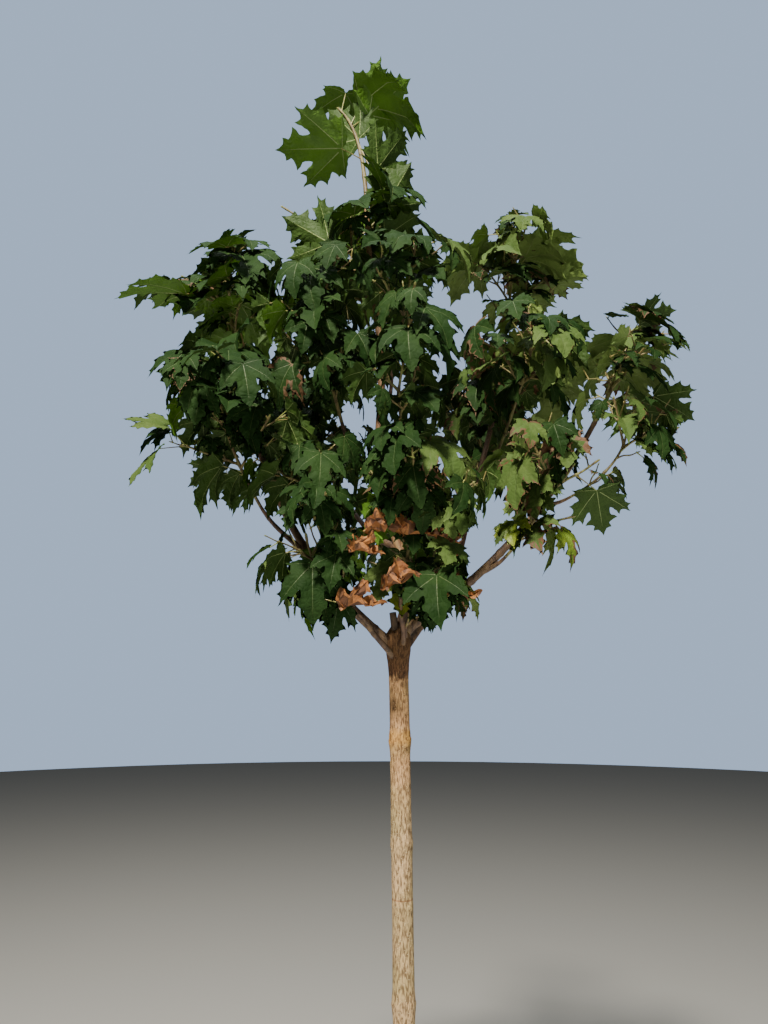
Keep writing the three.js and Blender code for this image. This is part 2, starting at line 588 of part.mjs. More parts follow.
function massSolid(plant) {
  const twigs = plant.twigs.map(({ node, tip }) => tube(straight(node, tip), 0, 1, () => TWIG_RADIUS, 3, 1));
  const made = wasm.Manifold.union([solid(tube(plant.curve, 0, 1, plant.radiusAt, 3, 4)),
    ...twigs.map(solid), ...plant.leaves.map(leafSolid)]);
  return tidied(made);
}

const tree = new THREE.Group();
tree.name = 'young_maple';
for (const [name, { made }] of limbSolids) {
  const label = name === 'trunk' || name === 'leader' ? name : `${name}_bough`;
  tree.add(named(label, made, name === 'trunk' ? 'bark' : 'shoot'));
}
const plants = MASSES.map(growMass);
MASSES.forEach((mass, index) => tree.add(named(`${mass.name}_leaves`, massSolid(plants[index]), 'leaf')));

export default tree;
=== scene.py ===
# %% [markdown]
# A young maple in full leaf, as a nursery grows it: a clear straight stem, a knuckle where it was cut back,
# and a crown of boughs that sweep out and up from there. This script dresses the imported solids. The limbs get
# their bark, and each mass of foliage is grown again by the solids' own rule and carried on to finer shoots.

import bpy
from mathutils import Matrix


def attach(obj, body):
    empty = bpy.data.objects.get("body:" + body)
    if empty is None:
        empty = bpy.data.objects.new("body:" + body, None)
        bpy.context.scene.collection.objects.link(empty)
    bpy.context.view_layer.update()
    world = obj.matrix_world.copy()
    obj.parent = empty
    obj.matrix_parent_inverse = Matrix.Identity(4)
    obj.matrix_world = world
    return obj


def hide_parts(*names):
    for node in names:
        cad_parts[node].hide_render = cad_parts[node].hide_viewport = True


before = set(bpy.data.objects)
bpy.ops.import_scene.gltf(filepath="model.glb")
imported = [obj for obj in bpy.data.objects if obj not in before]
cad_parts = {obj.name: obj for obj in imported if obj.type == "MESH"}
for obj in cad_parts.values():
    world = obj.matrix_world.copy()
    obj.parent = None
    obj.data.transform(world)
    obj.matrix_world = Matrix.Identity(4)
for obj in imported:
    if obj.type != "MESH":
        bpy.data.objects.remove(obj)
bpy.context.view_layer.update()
print("nodes in the packed tree:", len(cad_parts))

# %% Tools for shapes, numbers and files
import math
from math import cos, exp, pi, radians, sin
from types import SimpleNamespace

import bpy
import numpy as np
from mathutils import Vector, noise
from mathutils.geometry import delaunay_2d_cdt

MM = 0.001


def deselect():
    """Nothing selected, so that the next operator only acts on what it adds."""
    if bpy.context.object and bpy.context.object.mode != "OBJECT":
        bpy.ops.object.mode_set(mode="OBJECT")
    bpy.ops.object.select_all(action="DESELECT")


# %% [markdown]
# The photo was taken from eye height, 1.35 m in front of the stem, with the lens tilted up by 12 degrees. The
# camera goes to that place first, because every likeness below is judged through it. The light is a plain
# soft studio: a wide panel overhead for the sky, a small warm one high in front for the sun, a dim fill from
# the right, and one low in front, for the light that reaches the undersides from below.

# %% Camera, lights and floor
CAMERA_PLACE = (-0.028, -1.35, 1.60)
CAMERA_TILT = 12  # degrees above level
CAMERA_LENS = 27.04  # millimetres, for a frame 36 mm tall
SKY_SEEN = (0.42, 0.55, 0.76, 1)
SKY_LIGHT = (0.036, 0.043, 0.05, 1)
FLOOR_COLOUR = (0.74, 0.74, 0.72, 1)
PANELS = {
    "sky_panel": {"place": (-0.3, 0.4, 5.6), "size": 2.2, "power": 52, "colour": (0.96, 1.0, 0.98)},
    "sun_panel": {"place": (-1.0, -3.0, 5.4), "size": 0.5, "power": 530, "colour": (1.0, 0.92, 0.78)},
    "fill_panel": {"place": (2.8, -2.4, 1.2), "size": 2.2, "power": 20, "colour": (0.95, 1.0, 0.92)},
    "ground_panel": {"place": (0.1, -2.3, 0.2), "size": 1.8, "power": 12, "colour": (1.0, 1.0, 0.86)},
}
CROWN_MIDDLE = Vector((0, 0, 2.1))
FLOOR_RADIUS = 14


def add_panel(name, place, size, power, colour):
    """A square soft light that faces the crown."""
    lamp = bpy.data.lights.new(name, "AREA")
    lamp.size = size
    lamp.energy = power
    lamp.color = colour
    panel = bpy.data.objects.new(name, lamp)
    bpy.context.scene.collection.objects.link(panel)
    panel.location = place
    panel.rotation_euler = (CROWN_MIDDLE - panel.location).to_track_quat("-Z", "Y").to_euler()
    return panel


lens = bpy.data.cameras.new("photo_camera")
lens.lens = CAMERA_LENS
camera = bpy.data.objects.new("photo_camera", lens)
bpy.context.scene.collection.objects.link(camera)
camera.location = CAMERA_PLACE
camera.rotation_euler = (radians(90 + CAMERA_TILT), 0, 0)
bpy.context.scene.camera = camera

for panel_name, facts in PANELS.items():
    add_panel(panel_name, **facts)

sky = bpy.data.worlds.new("plain_sky")
sky.use_nodes = True
seen_directly = sky.node_tree.nodes.new("ShaderNodeLightPath")
sky_mix = sky.node_tree.nodes.new("ShaderNodeMix")
sky_mix.data_type = "RGBA"
sky_mix.inputs[6].default_value = SKY_LIGHT
sky_mix.inputs[7].default_value = SKY_SEEN
sky.node_tree.links.new(seen_directly.outputs["Is Camera Ray"], sky_mix.inputs["Factor"])
sky.node_tree.links.new(sky_mix.outputs[2], sky.node_tree.nodes["Background"].inputs["Color"])
bpy.context.scene.world = sky

deselect()
bpy.ops.mesh.primitive_circle_add(vertices=96, radius=FLOOR_RADIUS, fill_type="NGON")
floor = bpy.context.object
floor.name = "pale_floor"
floor_look = bpy.data.materials.new("pale_floor")
floor_look.use_nodes = True
floor_look.node_tree.nodes["Principled BSDF"].inputs["Base Color"].default_value = FLOOR_COLOUR
floor_look.node_tree.nodes["Principled BSDF"].inputs["Roughness"].default_value = 0.9
floor.data.materials.append(floor_look)
print("camera at", CAMERA_PLACE, "with", len(PANELS), "soft panels")

# %% [markdown]
# A tree of this age is a simple system. One stem, a handful of boughs, and on each of them shoots that carry
# leaves in pairs, each pair turned by a quarter against the last. The sizes below are the real ones in
# millimetres, the same as in the solids, so the shoots drawn here leave their boughs where the solids' do.

# %% Sizes of the stem and limbs
TRUNK_HEIGHT = 1692
TRUNK_RADIUS_LOW = 19
TRUNK_RADIUS_HIGH = 16.5
TRUNK_LEAN = -4
TRUNK_BOW = 6.5
FLARE_SWELL = 11
FLARE_HEIGHT = 42
FLARE_LOBES = 5
FLARE_LOBE_SHARE = 0.16
KNUCKLE = (1655, 5.5, 34)  # height up the stem, swell and half height of the swelling
OLD_NODES = [(520, 1.6, 16), (812, 1.4, 14), (1093, 2.0, 16), (1330, 1.5, 13), (1493, 2.2, 15)]
STUBS = [((-7, -8, 1665), (-13, -17, 1706), 6.5), ((4, -9, 1668), (7, -19, 1712), 7)]
GAP = 0.3
LIMB_WAVES = {"sway": 7, "waves": 1.6, "fade": 1}
LEADER = SimpleNamespace(end=(-61, 0, 2500), waves={"sway": 40, "waves": 1.9, "fade": 3}, foot=9.5, tip=4.6)
ENTRY = 0.86
BOUGH_TAPER = 0.52

# %% Sizes of the foliage
INTERNODE = 66
TWIG_SHARE = 0.66
CREST_NODE = 0.985
BESIDE = 0.5
YOUNG = 0.8
CREST_RISE = 0.46
CREST_DRIFT = 0.25
TWIG_NODES = [0.95, 0.52]
SINK = 4
STAGGER = 7
TWIG_SPREAD = 56
TWIG_RADIUS = 2.5
STEM_TIP_RADIUS = 1.9
LEAF_LENGTH = 108
STALK_SHARE = 0.42
STALK_RADIUS = 1.05
LEAF_CLEARANCE = 15
LIMB_CLEARANCE = 7
EDGE_CLEARANCE = 3
SPACE_MARGIN = 2.5
TRIES = 11
SEED = 20231


def mass_of(name, limb, at, heart, reach, rise, bend, foot, hang, entry=ENTRY, twigs=None, pairs=None, size=1,
            finer=True):
    """One mass of foliage: the limb that its bough springs from, and the space that it keeps to."""
    sweep, lift = bend
    return SimpleNamespace(
        name=name, limb=limb, at=at, heart=np.array(heart, float), reach=reach, rise=rise, sweep=sweep,
        lift=lift, foot=foot, hang=hang, entry=entry, twigs=twigs, pairs=pairs, size=size, finer=finer,
    )


MASSES = [
    mass_of("tip", "leader", None, (-109, 19, 2665), 183, 159, (0, 0), 0, 20, twigs=0, pairs=5, size=1.28,
            finer=False),
    mass_of("collar", "leader", 0.62, (-85, 3, 2403), 199, 147, (0.6, 0.3), 4.2, 29),
    mass_of("left_top", "trunk", 0.972, (-321, 7, 2315), 202, 134, (0.86, 0.3), 9, 18),
    mass_of("left_outer", "left_top", 0.42, (-299, -82, 2048), 200, 205, (0.7, 0.2), 5.5, 38),
    mass_of("left_inner", "leader", 0.3, (-140, -95, 2195), 192, 185, (0.7, 0.3), 6, 46),
    mass_of("left_low", "trunk", 0.958, (-160, -101, 1902), 169, 157, (0.6, 0.3), 5.5, 47),
    mass_of("skirt", "left_low", 0.42, (-140, -92, 1769), 157, 119, (0.5, 0.6), 3.6, 50, entry=0.7, pairs=4),
    mass_of("front_high", "leader", 0.5, (17, -156, 2254), 160, 134, (0.7, 0.3), 4.5, 33),
    mass_of("middle", "leader", 0.3, (10, -155, 2085), 180, 150, (0.6, 0.3), 5, 46),
    mass_of("front_low", "trunk", 0.966, (13, -160, 1896), 169, 140, (0.5, 0.3), 5, 50),
    mass_of("knuckle", "trunk", 0.978, (36, -89, 1734), 153, 111, (0.5, 0.3), 4, 47, entry=0.5, pairs=4),
    mass_of("right_tall", "leader", 0.09, (226, 57, 2382), 163, 133, (0.82, 0.32), 7, 16),
    mass_of("right_mid", "right_tall", 0.5, (226, -83, 2130), 191, 152, (0.7, 0.3), 5, 50),
    mass_of("right_top", "trunk", 0.987, (414, -20, 2168), 146, 126, (0.64, 0.32), 8.5, 14),
    mass_of("right_outer", "right_top", 0.66, (384, -39, 2003), 150, 118, (0.7, 0.1), 4.5, 45),
    mass_of("right_low", "right_top", 0.36, (255, -95, 1902), 178, 150, (0.6, 0.2), 5, 46),
    mass_of("back_left", "leader", 0.2, (-170, 240, 2120), 210, 215, (0.75, 0.3), 6.5, 36),
    mass_of("back_right", "trunk", 0.963, (190, 235, 2140), 205, 205, (0.75, 0.3), 7, 36),
    mass_of("back_low", "trunk", 0.972, (10, 195, 1925), 185, 165, (0.7, 0.3), 6, 40),
]
print("masses of foliage:", len(MASSES))

# %% [markdown]
# Growth looks random but isn't free. Each choice below comes from a fixed mixing of whole numbers, such as
# the mass, the pair and the side of the stem. Blender could draw its own random numbers, but these give the
# same tree on every run and in every program.

# %% Fixed choices, and vectors in millimetres
UP = np.array((0.0, 0.0, 1.0))
BACKWARD = np.array((0.0, 1.0, 0.0))
SIDEWAYS = np.array((1.0, 0.0, 0.0))
FLAT = np.array((1.0, 1.0, 0.0))


def chance(*keys):
    """A fixed number from 0 to 1 for each set of whole numbers."""
    mixed = SEED
    for key in keys:
        mixed = ((mixed ^ (key + 0x9E3779B9)) * 0x85EBCA6B) & 0xFFFFFFFF
        mixed ^= mixed >> 15
        mixed = (mixed * 0xC2B2AE35) & 0xFFFFFFFF
        mixed ^= mixed >> 13
    return mixed / 4294967296


def spread(amount, *keys):
    return amount * (2 * chance(*keys) - 1)


def size_of(way):
    return math.sqrt(way[0] * way[0] + way[1] * way[1] + way[2] * way[2])


def unit(way):
    return way / size_of(way)


def cross(a, b):
    return np.array((a[1] * b[2] - a[2] * b[1], a[2] * b[0] - a[0] * b[2], a[0] * b[1] - a[1] * b[0]))


def across(direction, guide):
    """Two unit vectors across a direction."""
    first = unit(cross(guide, direction))
    return first, cross(direction, first)


def out_from(axis, turn):
    """A unit vector straight out from a shoot, at an angle round it."""
    one, two = across(axis, UP if abs(axis[2]) < 0.9 else BACKWARD)
    return one * cos(turn) + two * sin(turn)


def turned(way, axis, angle):
    """A vector turned about a unit axis."""
    return way * cos(angle) + cross(axis, way) * sin(angle) + axis * float(axis @ way) * (1 - cos(angle))


def lerp(a, b, share):
    return a + (b - a) * share


# %% [markdown]
# A bough is never a straight stick or a perfect arc. Its line here is a curve with one bend, and a small
# sideways sway that fades towards the tip, as the shoot left or right of each old bud took over.

# %% The lines of the limbs
class LimbLine:
    """One bend from start to end, with a sideways sway that fades."""

    def __init__(self, start, bend, end, sway=0, waves=0, fade=0, side=None):
        self.start, self.bend, self.end = (np.array(p, float) for p in (start, bend, end))
        self.sway, self.waves, self.fade = sway, waves, fade
        level = np.array((self.start[1] - self.end[1], self.end[0] - self.start[0], 0.0))
        self.side = side
        if side is None:
            self.side = BACKWARD if size_of(level) < 20 else unit(level)

    def point(self, t):
        off = self.sway * sin(2 * pi * self.waves * t) * exp(-self.fade * t)
        return self.start * (1 - t) ** 2 + self.bend * 2 * t * (1 - t) + self.end * t * t + self.side * off

    def direction(self, t):
        step = 0.002
        return unit(self.point(t + step) - self.point(t - step))

    def length(self):
        points = [self.point(i / 200) for i in range(201)]
        return sum(size_of(b - a) for a, b in zip(points, points[1:]))


def straight(start, end):
    return LimbLine(start, (start + end) / 2, end)


def trunk_radius(t, turn):
    """The stem's radius at a share of its height, with root flare, healed nodes and knuckle."""
    z = t * TRUNK_HEIGHT
    flare = FLARE_SWELL * exp(-z / FLARE_HEIGHT)
    lobes = 1 + FLARE_LOBE_SHARE * cos(FLARE_LOBES * turn) * exp(-z / FLARE_HEIGHT)
    swelling = sum(swell * exp(-(((z - at) / height) ** 2)) for at, swell, height in [KNUCKLE, *OLD_NODES])
    dome = math.sqrt(max(0.18, min(1, (TRUNK_HEIGHT - z) / 22)))
    return (lerp(TRUNK_RADIUS_LOW, TRUNK_RADIUS_HIGH, t) + flare) * lobes * dome + swelling * dome


# %% The stem, the leader and a bough for each other mass
limbs = {}


def add_bough(mass):
    parent = limbs[mass.limb]
    start = parent.line.point(mass.at * parent.end)
    bend = start + (mass.heart - start) * np.array((mass.sweep, mass.sweep, mass.lift))
    line = LimbLine(start, bend, mass.heart, **LIMB_WAVES)
    end = 1
    while end > 0.3 and size_of(line.point(end) - mass.heart) < mass.entry * mass.reach:
        end -= 0.01
    radius = lambda t, foot=mass.foot, end=end: lerp(foot, foot * BOUGH_TAPER, t / end)
    limbs[mass.name] = SimpleNamespace(line=line, end=end, radius=radius)


trunk_line = LimbLine(
    (0, 0, 0), (TRUNK_LEAN / 2, 0, TRUNK_HEIGHT / 2), (TRUNK_LEAN, 0, TRUNK_HEIGHT),
    sway=TRUNK_BOW, waves=0.5, fade=0, side=SIDEWAYS,
)
limbs["trunk"] = SimpleNamespace(line=trunk_line, end=1, radius=lambda t: trunk_radius(t, 0))
leader_start = trunk_line.point(0.975)
leader_end = np.array(LEADER.end, float)
leader_line = LimbLine(
    leader_start, (leader_start + leader_end) / 2, leader_end, side=SIDEWAYS, **LEADER.waves,
)
limbs["leader"] = SimpleNamespace(
    line=leader_line, end=1, radius=lambda t: lerp(LEADER.foot, LEADER.tip, t),
)
for mass in MASSES:
    if mass.at:
        add_bough(mass)
print("limbs:", len(limbs))


# %% The stem inside each mass
def stem_of(mass):
    limb = limbs[mass.name if mass.at else mass.limb]
    onward = limb.line.direction(limb.end)
    start = limb.line.point(limb.end) + onward * GAP
    crest = mass.heart + UP * (mass.rise * CREST_RISE) + (mass.heart - start) * FLAT * CREST_DRIFT
    bend = start + onward * size_of(mass.heart - start)
    foot = limb.radius(limb.end)
    return SimpleNamespace(
        line=LimbLine(start, bend, crest), end=1, radius=lambda t: lerp(foot, STEM_TIP_RADIUS, t),
    )


stems = [stem_of(mass) for mass in MASSES]

# %% [markdown]
# Leaves may not sink into a limb. The quickest test is a string of points along every limb with the bark's
# radius at each, so a leaf only has to be farther from all of them than that.

# %% Points along the bark
BARK_STEP = 9
FOLIAGE_FROM = 0.85


def bark_of(limb, owner, first):
    steps = math.ceil(limb.line.length() * (limb.end - first) / BARK_STEP)
    marks = [first + (limb.end - first) * i / steps for i in range(steps + 1)]
    points = [limb.line.point(t) for t in marks]
    lines = [(points[i], points[min(i + 3, steps)]) for i in range(0, steps, 3)]
    return points, [limb.radius(t) for t in marks], [owner] * len(points), lines


bark_parts = [bark_of(limb, -1, FOLIAGE_FROM if name == "trunk" else 0) for name, limb in limbs.items()]
bark_parts += [bark_of(stem, index, 0) for index, stem in enumerate(stems)]
bark_points = np.array([point for part in bark_parts for point in part[0]])
bark_radii = np.array([radius for part in bark_parts for radius in part[1]])
bark_owners = np.array([owner for part in bark_parts for owner in part[2]])
bark_lines = np.array([ends for part in bark_parts for ends in part[3]])
print("points on the bark:", len(bark_points))

# %% [markdown]
# A leaf keeps to its mass's space, off the bark, and off the other leaves. Testing real leaf shapes against
# each other would take minutes, so each blade stands as nine corners here, and lines are crossed with
# triangles for all pairs at once.

# %% Tests that a leaf has to pass
LOBES = [(0.01, 0), (0.46, 0.02), (0.58, 0.62), (0.18, 0.5), (0, 1)]
BLADE_HEART = (0, 0.34)
CORNERS = np.array(LOBES + [(-u, v) for u, v in LOBES[-2::-1]])
SAMPLES = np.array([(0, 0.5), (0, 0.88), (0.36, 0.4), (-0.36, 0.4), (0.26, 0.05), (-0.26, 0.05), (0, 0.15)])
FINE_SAMPLES = np.array([*SAMPLES, (0, 0.33), (0, 0.7), (0.2, 0.22), (-0.2, 0.22), (0.19, 0.4), (-0.19, 0.4),
                         (0.4, 0.2), (-0.4, 0.2), (0.5, 0.5), (-0.5, 0.5)])


def in_space(mass, points, margin):
    """Whether points lie in the mass's spheroid, and nearer to it than to its neighbours."""
    off = points - mass.heart
    flat = (off[:, 0] ** 2 + off[:, 1] ** 2) / (mass.reach - margin) ** 2
    if (flat + (off[:, 2] / (mass.rise - margin)) ** 2 > 1).any():
        return False
    own = (off ** 2).sum(1) - mass.reach ** 2
    for rival in MASSES:
        if rival is mass:
            continue
        theirs = ((points - rival.heart) ** 2).sum(1) - rival.reach ** 2
        if not (theirs - own > 2 * margin * size_of(mass.heart - rival.heart)).all():
            return False
    return True


def blade_points(leaf, places):
    """Where places on a blade lie: across, along and out of it, with its fold and curl."""
    u, v = places[:, 0], places[:, 1]
    lift = leaf.fold * np.abs(u) - leaf.curl * (u * u + v * v)
    offsets = np.outer(u, leaf.side) + np.outer(v, leaf.along) + np.outer(lift, leaf.out)
    return leaf.base + offsets * leaf.length


def lines_off_bark(bark, starts, ends, clearance):
    """Whether straight pieces keep off the bark all along."""
    run = ends - starts
    share = np.einsum("pld,ld->pl", bark.points[:, None] - starts, run) / (run ** 2).sum(1)
    nearest = starts + np.clip(share, 0, 1)[:, :, None] * run
    gap = np.sqrt(((nearest - bark.points[:, None]) ** 2).sum(2))
    return bool((gap > bark.radii[:, None] + clearance).all())


def any_cross(segments, triangles):
    """Whether any segment goes through any triangle."""
    if not len(segments) or not len(triangles):
        return False
    way = segments[:, 1] - segments[:, 0]
    length = np.sqrt((way ** 2).sum(1))
    way = way / length[:, None]
    first = triangles[:, 1] - triangles[:, 0]
    second = triangles[:, 2] - triangles[:, 0]
    normal = np.cross(first, second)
    slope = way @ normal.T
    sign = np.sign(slope)
    slope = np.abs(slope)
    off = segments[:, None, 0] - triangles[None, :, 0]
    one = sign * np.einsum("sd,std->st", way, np.cross(off, second[None]))
    two = sign * np.einsum("sd,std->st", way, np.cross(first[None], off))
    reach = -sign * np.einsum("std,td->st", off, normal)
    hit = (slope > 0) & (one >= 0) & (two >= 0) & (one + two <= slope) & (reach >= 0)
    return bool((hit & (reach < length[:, None] * slope)).any())


# %% [markdown]
# A leaf has to be grown before it can be tested: its stalk leaves the shoot at a wide angle, and the blade
# hangs from the stalk's end, out from the middle of its mass. Where that place is taken, it tries again with
# more turn and a shorter stalk, as a real leaf twists towards the light.

# %% One way in which a leaf may grow from a node
STALK_OPENING = 58  # degrees between shoot and stalk
STALK_LIFT = 0.12
OUTWARD_PULL = 0.25
DROOP_SPREAD = 26  # degrees that a blade may hang more or less than its mass's other leaves
BLADE_ROLL = 30  # degrees that it may lean to either side
FOLD = 0.12
CURL = 0.16


def leaf_at(mass, node, axis, azimuth, size, keys, attempt, roll=BLADE_ROLL):
    """One leaf, with the ways its stalk, its middle vein and its upper side point."""
    outward = out_from(axis, azimuth + spread(radians(8 + 24 * attempt), *keys, attempt, 1))
    opening = radians(STALK_OPENING + spread(14, *keys, attempt, 2))
    stalk = axis * cos(opening) + outward * sin(opening)
    stalk[2] += STALK_LIFT + spread(0.1, *keys, attempt, 3)
    stalk = unit(stalk)
    length = size * (1 - 0.05 * attempt) * (1 + spread(0.14, *keys, 4))
    reach = length * STALK_SHARE * (1 - 0.07 * attempt) * (1 + spread(0.25, *keys, attempt, 5))
    heading = stalk * FLAT
    away = (node - mass.heart) * FLAT
    if size_of(away) > 1:
        heading = heading + unit(away) * OUTWARD_PULL
    droop = radians(mass.hang + spread(DROOP_SPREAD, *keys, attempt, 6))
    along = unit(heading) * cos(droop) - UP * sin(droop)
    side = turned(unit(cross(along, UP)), along, radians(spread(roll, *keys, attempt, 7)))
    return SimpleNamespace(
        node=node, stalk=stalk, length=length, along=along, side=side, out=cross(side, along),
        base=node + stalk * reach, fold=FOLD + spread(0.1, *keys, 8), curl=CURL + spread(0.1, *keys, 9),
        keys=keys, measured="",
    )


def shape_of(leaf):
    """The lines and triangles that stand for a leaf where leaves are tested against each other."""
    corners = blade_points(leaf, CORNERS)
    following = np.roll(corners, -1, axis=0)
    hearts = np.repeat(blade_points(leaf, np.array([BLADE_HEART])), len(corners), axis=0)
    stalk = np.array([[lerp(leaf.node, leaf.base, 0.15), leaf.base]])
    rim = np.stack([corners, following], axis=1)
    leaf.triangles = np.stack([hearts, corners, following], axis=1)
    leaf.segments = np.concatenate([stalk, rim, np.stack([hearts, corners], axis=1)])
    leaf.samples = blade_points(leaf, SAMPLES)


def leaf_fits(mass, leaf, plant, clearance):
    """Whether a leaf keeps to its space, off the bark and off the leaves and twigs of its mass."""
    corners = blade_points(leaf, CORNERS)
    if not in_space(mass, np.vstack([corners, leaf.node]), SPACE_MARGIN):
        return False
    following = np.roll(corners, -1, axis=0)
    fine = blade_points(leaf, FINE_SAMPLES)
    gap = np.sqrt(((plant.bark.points[:, None] - fine[None]) ** 2).sum(2))
    if not (gap > plant.bark.radii[:, None] + LIMB_CLEARANCE).all():
        return False
    if not lines_off_bark(plant.bark, corners, following, EDGE_CLEARANCE):
        return False
    if not lines_off_bark(plant.bark, leaf.node[None], leaf.base[None], STALK_RADIUS + 1):
        return False
    samples = blade_points(leaf, SAMPLES)
    if len(plant.samples):
        gap = np.sqrt(((plant.samples[:, None] - samples[None]) ** 2).sum(2))
        if not (gap > clearance).all():
            return False
    shape_of(leaf)
    return not any_cross(leaf.segments, plant.triangles) and not any_cross(plant.segments, leaf.triangles)


def grow_leaf(mass, plant, node, axis, azimuth, size, keys, clearance=LEAF_CLEARANCE):
    """The first try that fits becomes a leaf of the plant."""
    for attempt in range(TRIES):
        leaf = leaf_at(mass, node, axis, azimuth, size, keys, attempt)
        if leaf_fits(mass, leaf, plant, clearance):
            plant.leaves.append(leaf)
            plant.samples = np.concatenate([plant.samples, leaf.samples])
            plant.triangles = np.concatenate([plant.triangles, leaf.triangles])
            plant.segments = np.concatenate([plant.segments, leaf.segments])
            return


# %% [markdown]
# A side twig of a maple leaves its stem at about 56 degrees, turns up a little, and carries the same crossed
# pairs as the stem, with one leaf or a bud at its end. It is shortened until it is clear of the rest.

# %% Twigs
TWIG_LIFT = 0.2
SHORTEST_TWIG = 24
SHORTENED = 0.8


def grow_twig(mass, plant, node, axis, azimuth, keys):
    """A twig as long as its place allows, with a leaf at its tip and crossed pairs below."""
    outward = out_from(axis, azimuth)
    opening = radians(TWIG_SPREAD + spread(10, *keys, 1))
    way = axis * cos(opening) + outward * sin(opening)
    way[2] += TWIG_LIFT
    way = unit(way)
    length = mass.reach * TWIG_SHARE * (1 + spread(0.25, *keys, 2))

    def clear():
        end = node + way * length
        return (
            in_space(mass, np.array([node, end]), SPACE_MARGIN + TWIG_RADIUS)
            and lines_off_bark(plant.bark, node[None], end[None], TWIG_RADIUS + 1)
            and not any_cross(np.array([[node, end]]), plant.triangles)
        )

    while length > SHORTEST_TWIG and not clear():
        length *= SHORTENED
    if length <= SHORTEST_TWIG:
        return
    tip = node + way * length
    plant.twigs.append(SimpleNamespace(node=node, tip=tip, way=way, length=length, radius=TWIG_RADIUS))
    plant.segments = np.concatenate([plant.segments, [[node, tip]]])
    last = tip - way * SINK
    grow_leaf(mass, plant, last, way, 2 * pi * chance(*keys, 3), YOUNG * LEAF_LENGTH, (*keys, 10))
    for place, share in enumerate(TWIG_NODES):
        for half in (0, 1):
            at = lerp(node, tip, share - half * STAGGER / length)
            turn = pi * (half + 0.5 * place) + spread(0.4, *keys, 4, place)
            grow_leaf(mass, plant, at, way, turn, LEAF_LENGTH, (*keys, 20 + 2 * place + half))


# %% A whole mass, from its crest down
def grow_mass(mass, index):
    """The pairs of leaves and twigs up one mass's stem."""
    stem = stems[index]
    others = bark_owners != index
    bark = SimpleNamespace(points=bark_points[others], radii=bark_radii[others])
    plant = SimpleNamespace(
        mass=mass, stem=stem, bark=bark, twigs=[], leaves=[], nodes=[], segments=bark_lines,
        samples=np.zeros((0, 3)), triangles=np.zeros((0, 3, 3)),
    )
    pairs = mass.pairs or max(3, math.floor(stem.line.length() / INTERNODE + 0.5))
    lowest = 1 if mass.twigs is None else pairs - mass.twigs
    full = LEAF_LENGTH * mass.size
    phase = chance(index, 0) * pi
    for pair in range(pairs, 0, -1):
        node = stem.line.point(pair / pairs * CREST_NODE)
        axis = stem.line.direction(pair / pairs * CREST_NODE)
        plant.nodes.append(pair / pairs * CREST_NODE)
        for half in (0, 1):
            azimuth = phase + pi * (half + 0.5 * pair)
            spot = node - axis * (half * STAGGER)
            lower = node - axis * ((half + 2) * STAGGER)
            if lowest <= pair < pairs:
                grow_twig(mass, plant, spot, axis, azimuth, (index, pair, half))
            beside = azimuth + (BESIDE if pair < pairs else 0)
            grow_leaf(mass, plant, lower, axis, beside, full, (index, pair, half, 90))
            if pair == pairs:
                grow_leaf(mass, plant, spot, axis, azimuth + pi / 2, YOUNG * full, (index, pair, half, 91))
    return plant


plants = [grow_mass(mass, index) for index, mass in enumerate(MASSES)]
print("leaves by the solids' rule:", [len(plant.leaves) for plant in plants])

# %% [markdown]
# Some things about a crown come from wind, light and luck, and no rule of growth gives them. Its largest gaps
# are kept open here: each is a circle on the plane of the stem, seen from the camera, and the last two keep
# the pruned stubs in view. And sixteen single leaves, most of them on the crown's outline, are set where they
# were measured.

# %% Openings, and leaves that stand out
EYE = np.array(CAMERA_PLACE) / MM
# Where each opening is, across and up, and its radius
OPENINGS = [
    (-200, 2740, 34), (-222, 2692, 34), (-131, 2540, 34), (-450, 2370, 24), (-445, 2262, 22),
    (-395, 2262, 20), (-475, 2128, 20), (-428, 1963, 19), (-382, 1962, 13), (-245, 1855, 24),
    (-174, 1830, 22), (-281, 1820, 16), (-80, 2061, 19), (-106, 2006, 13), (-12, 2130, 15),
    (128, 2314, 18), (176, 2322, 19), (356, 2388, 18), (300, 2288, 22), (382, 2246, 20),
    (532, 2182, 20), (396, 2120, 20), (365, 1995, 32), (418, 1978, 26), (350, 2036, 14),
    (300, 1895, 20), (358, 1880, 54), (-3, 1700, 24), (-26, 1727, 9),
]
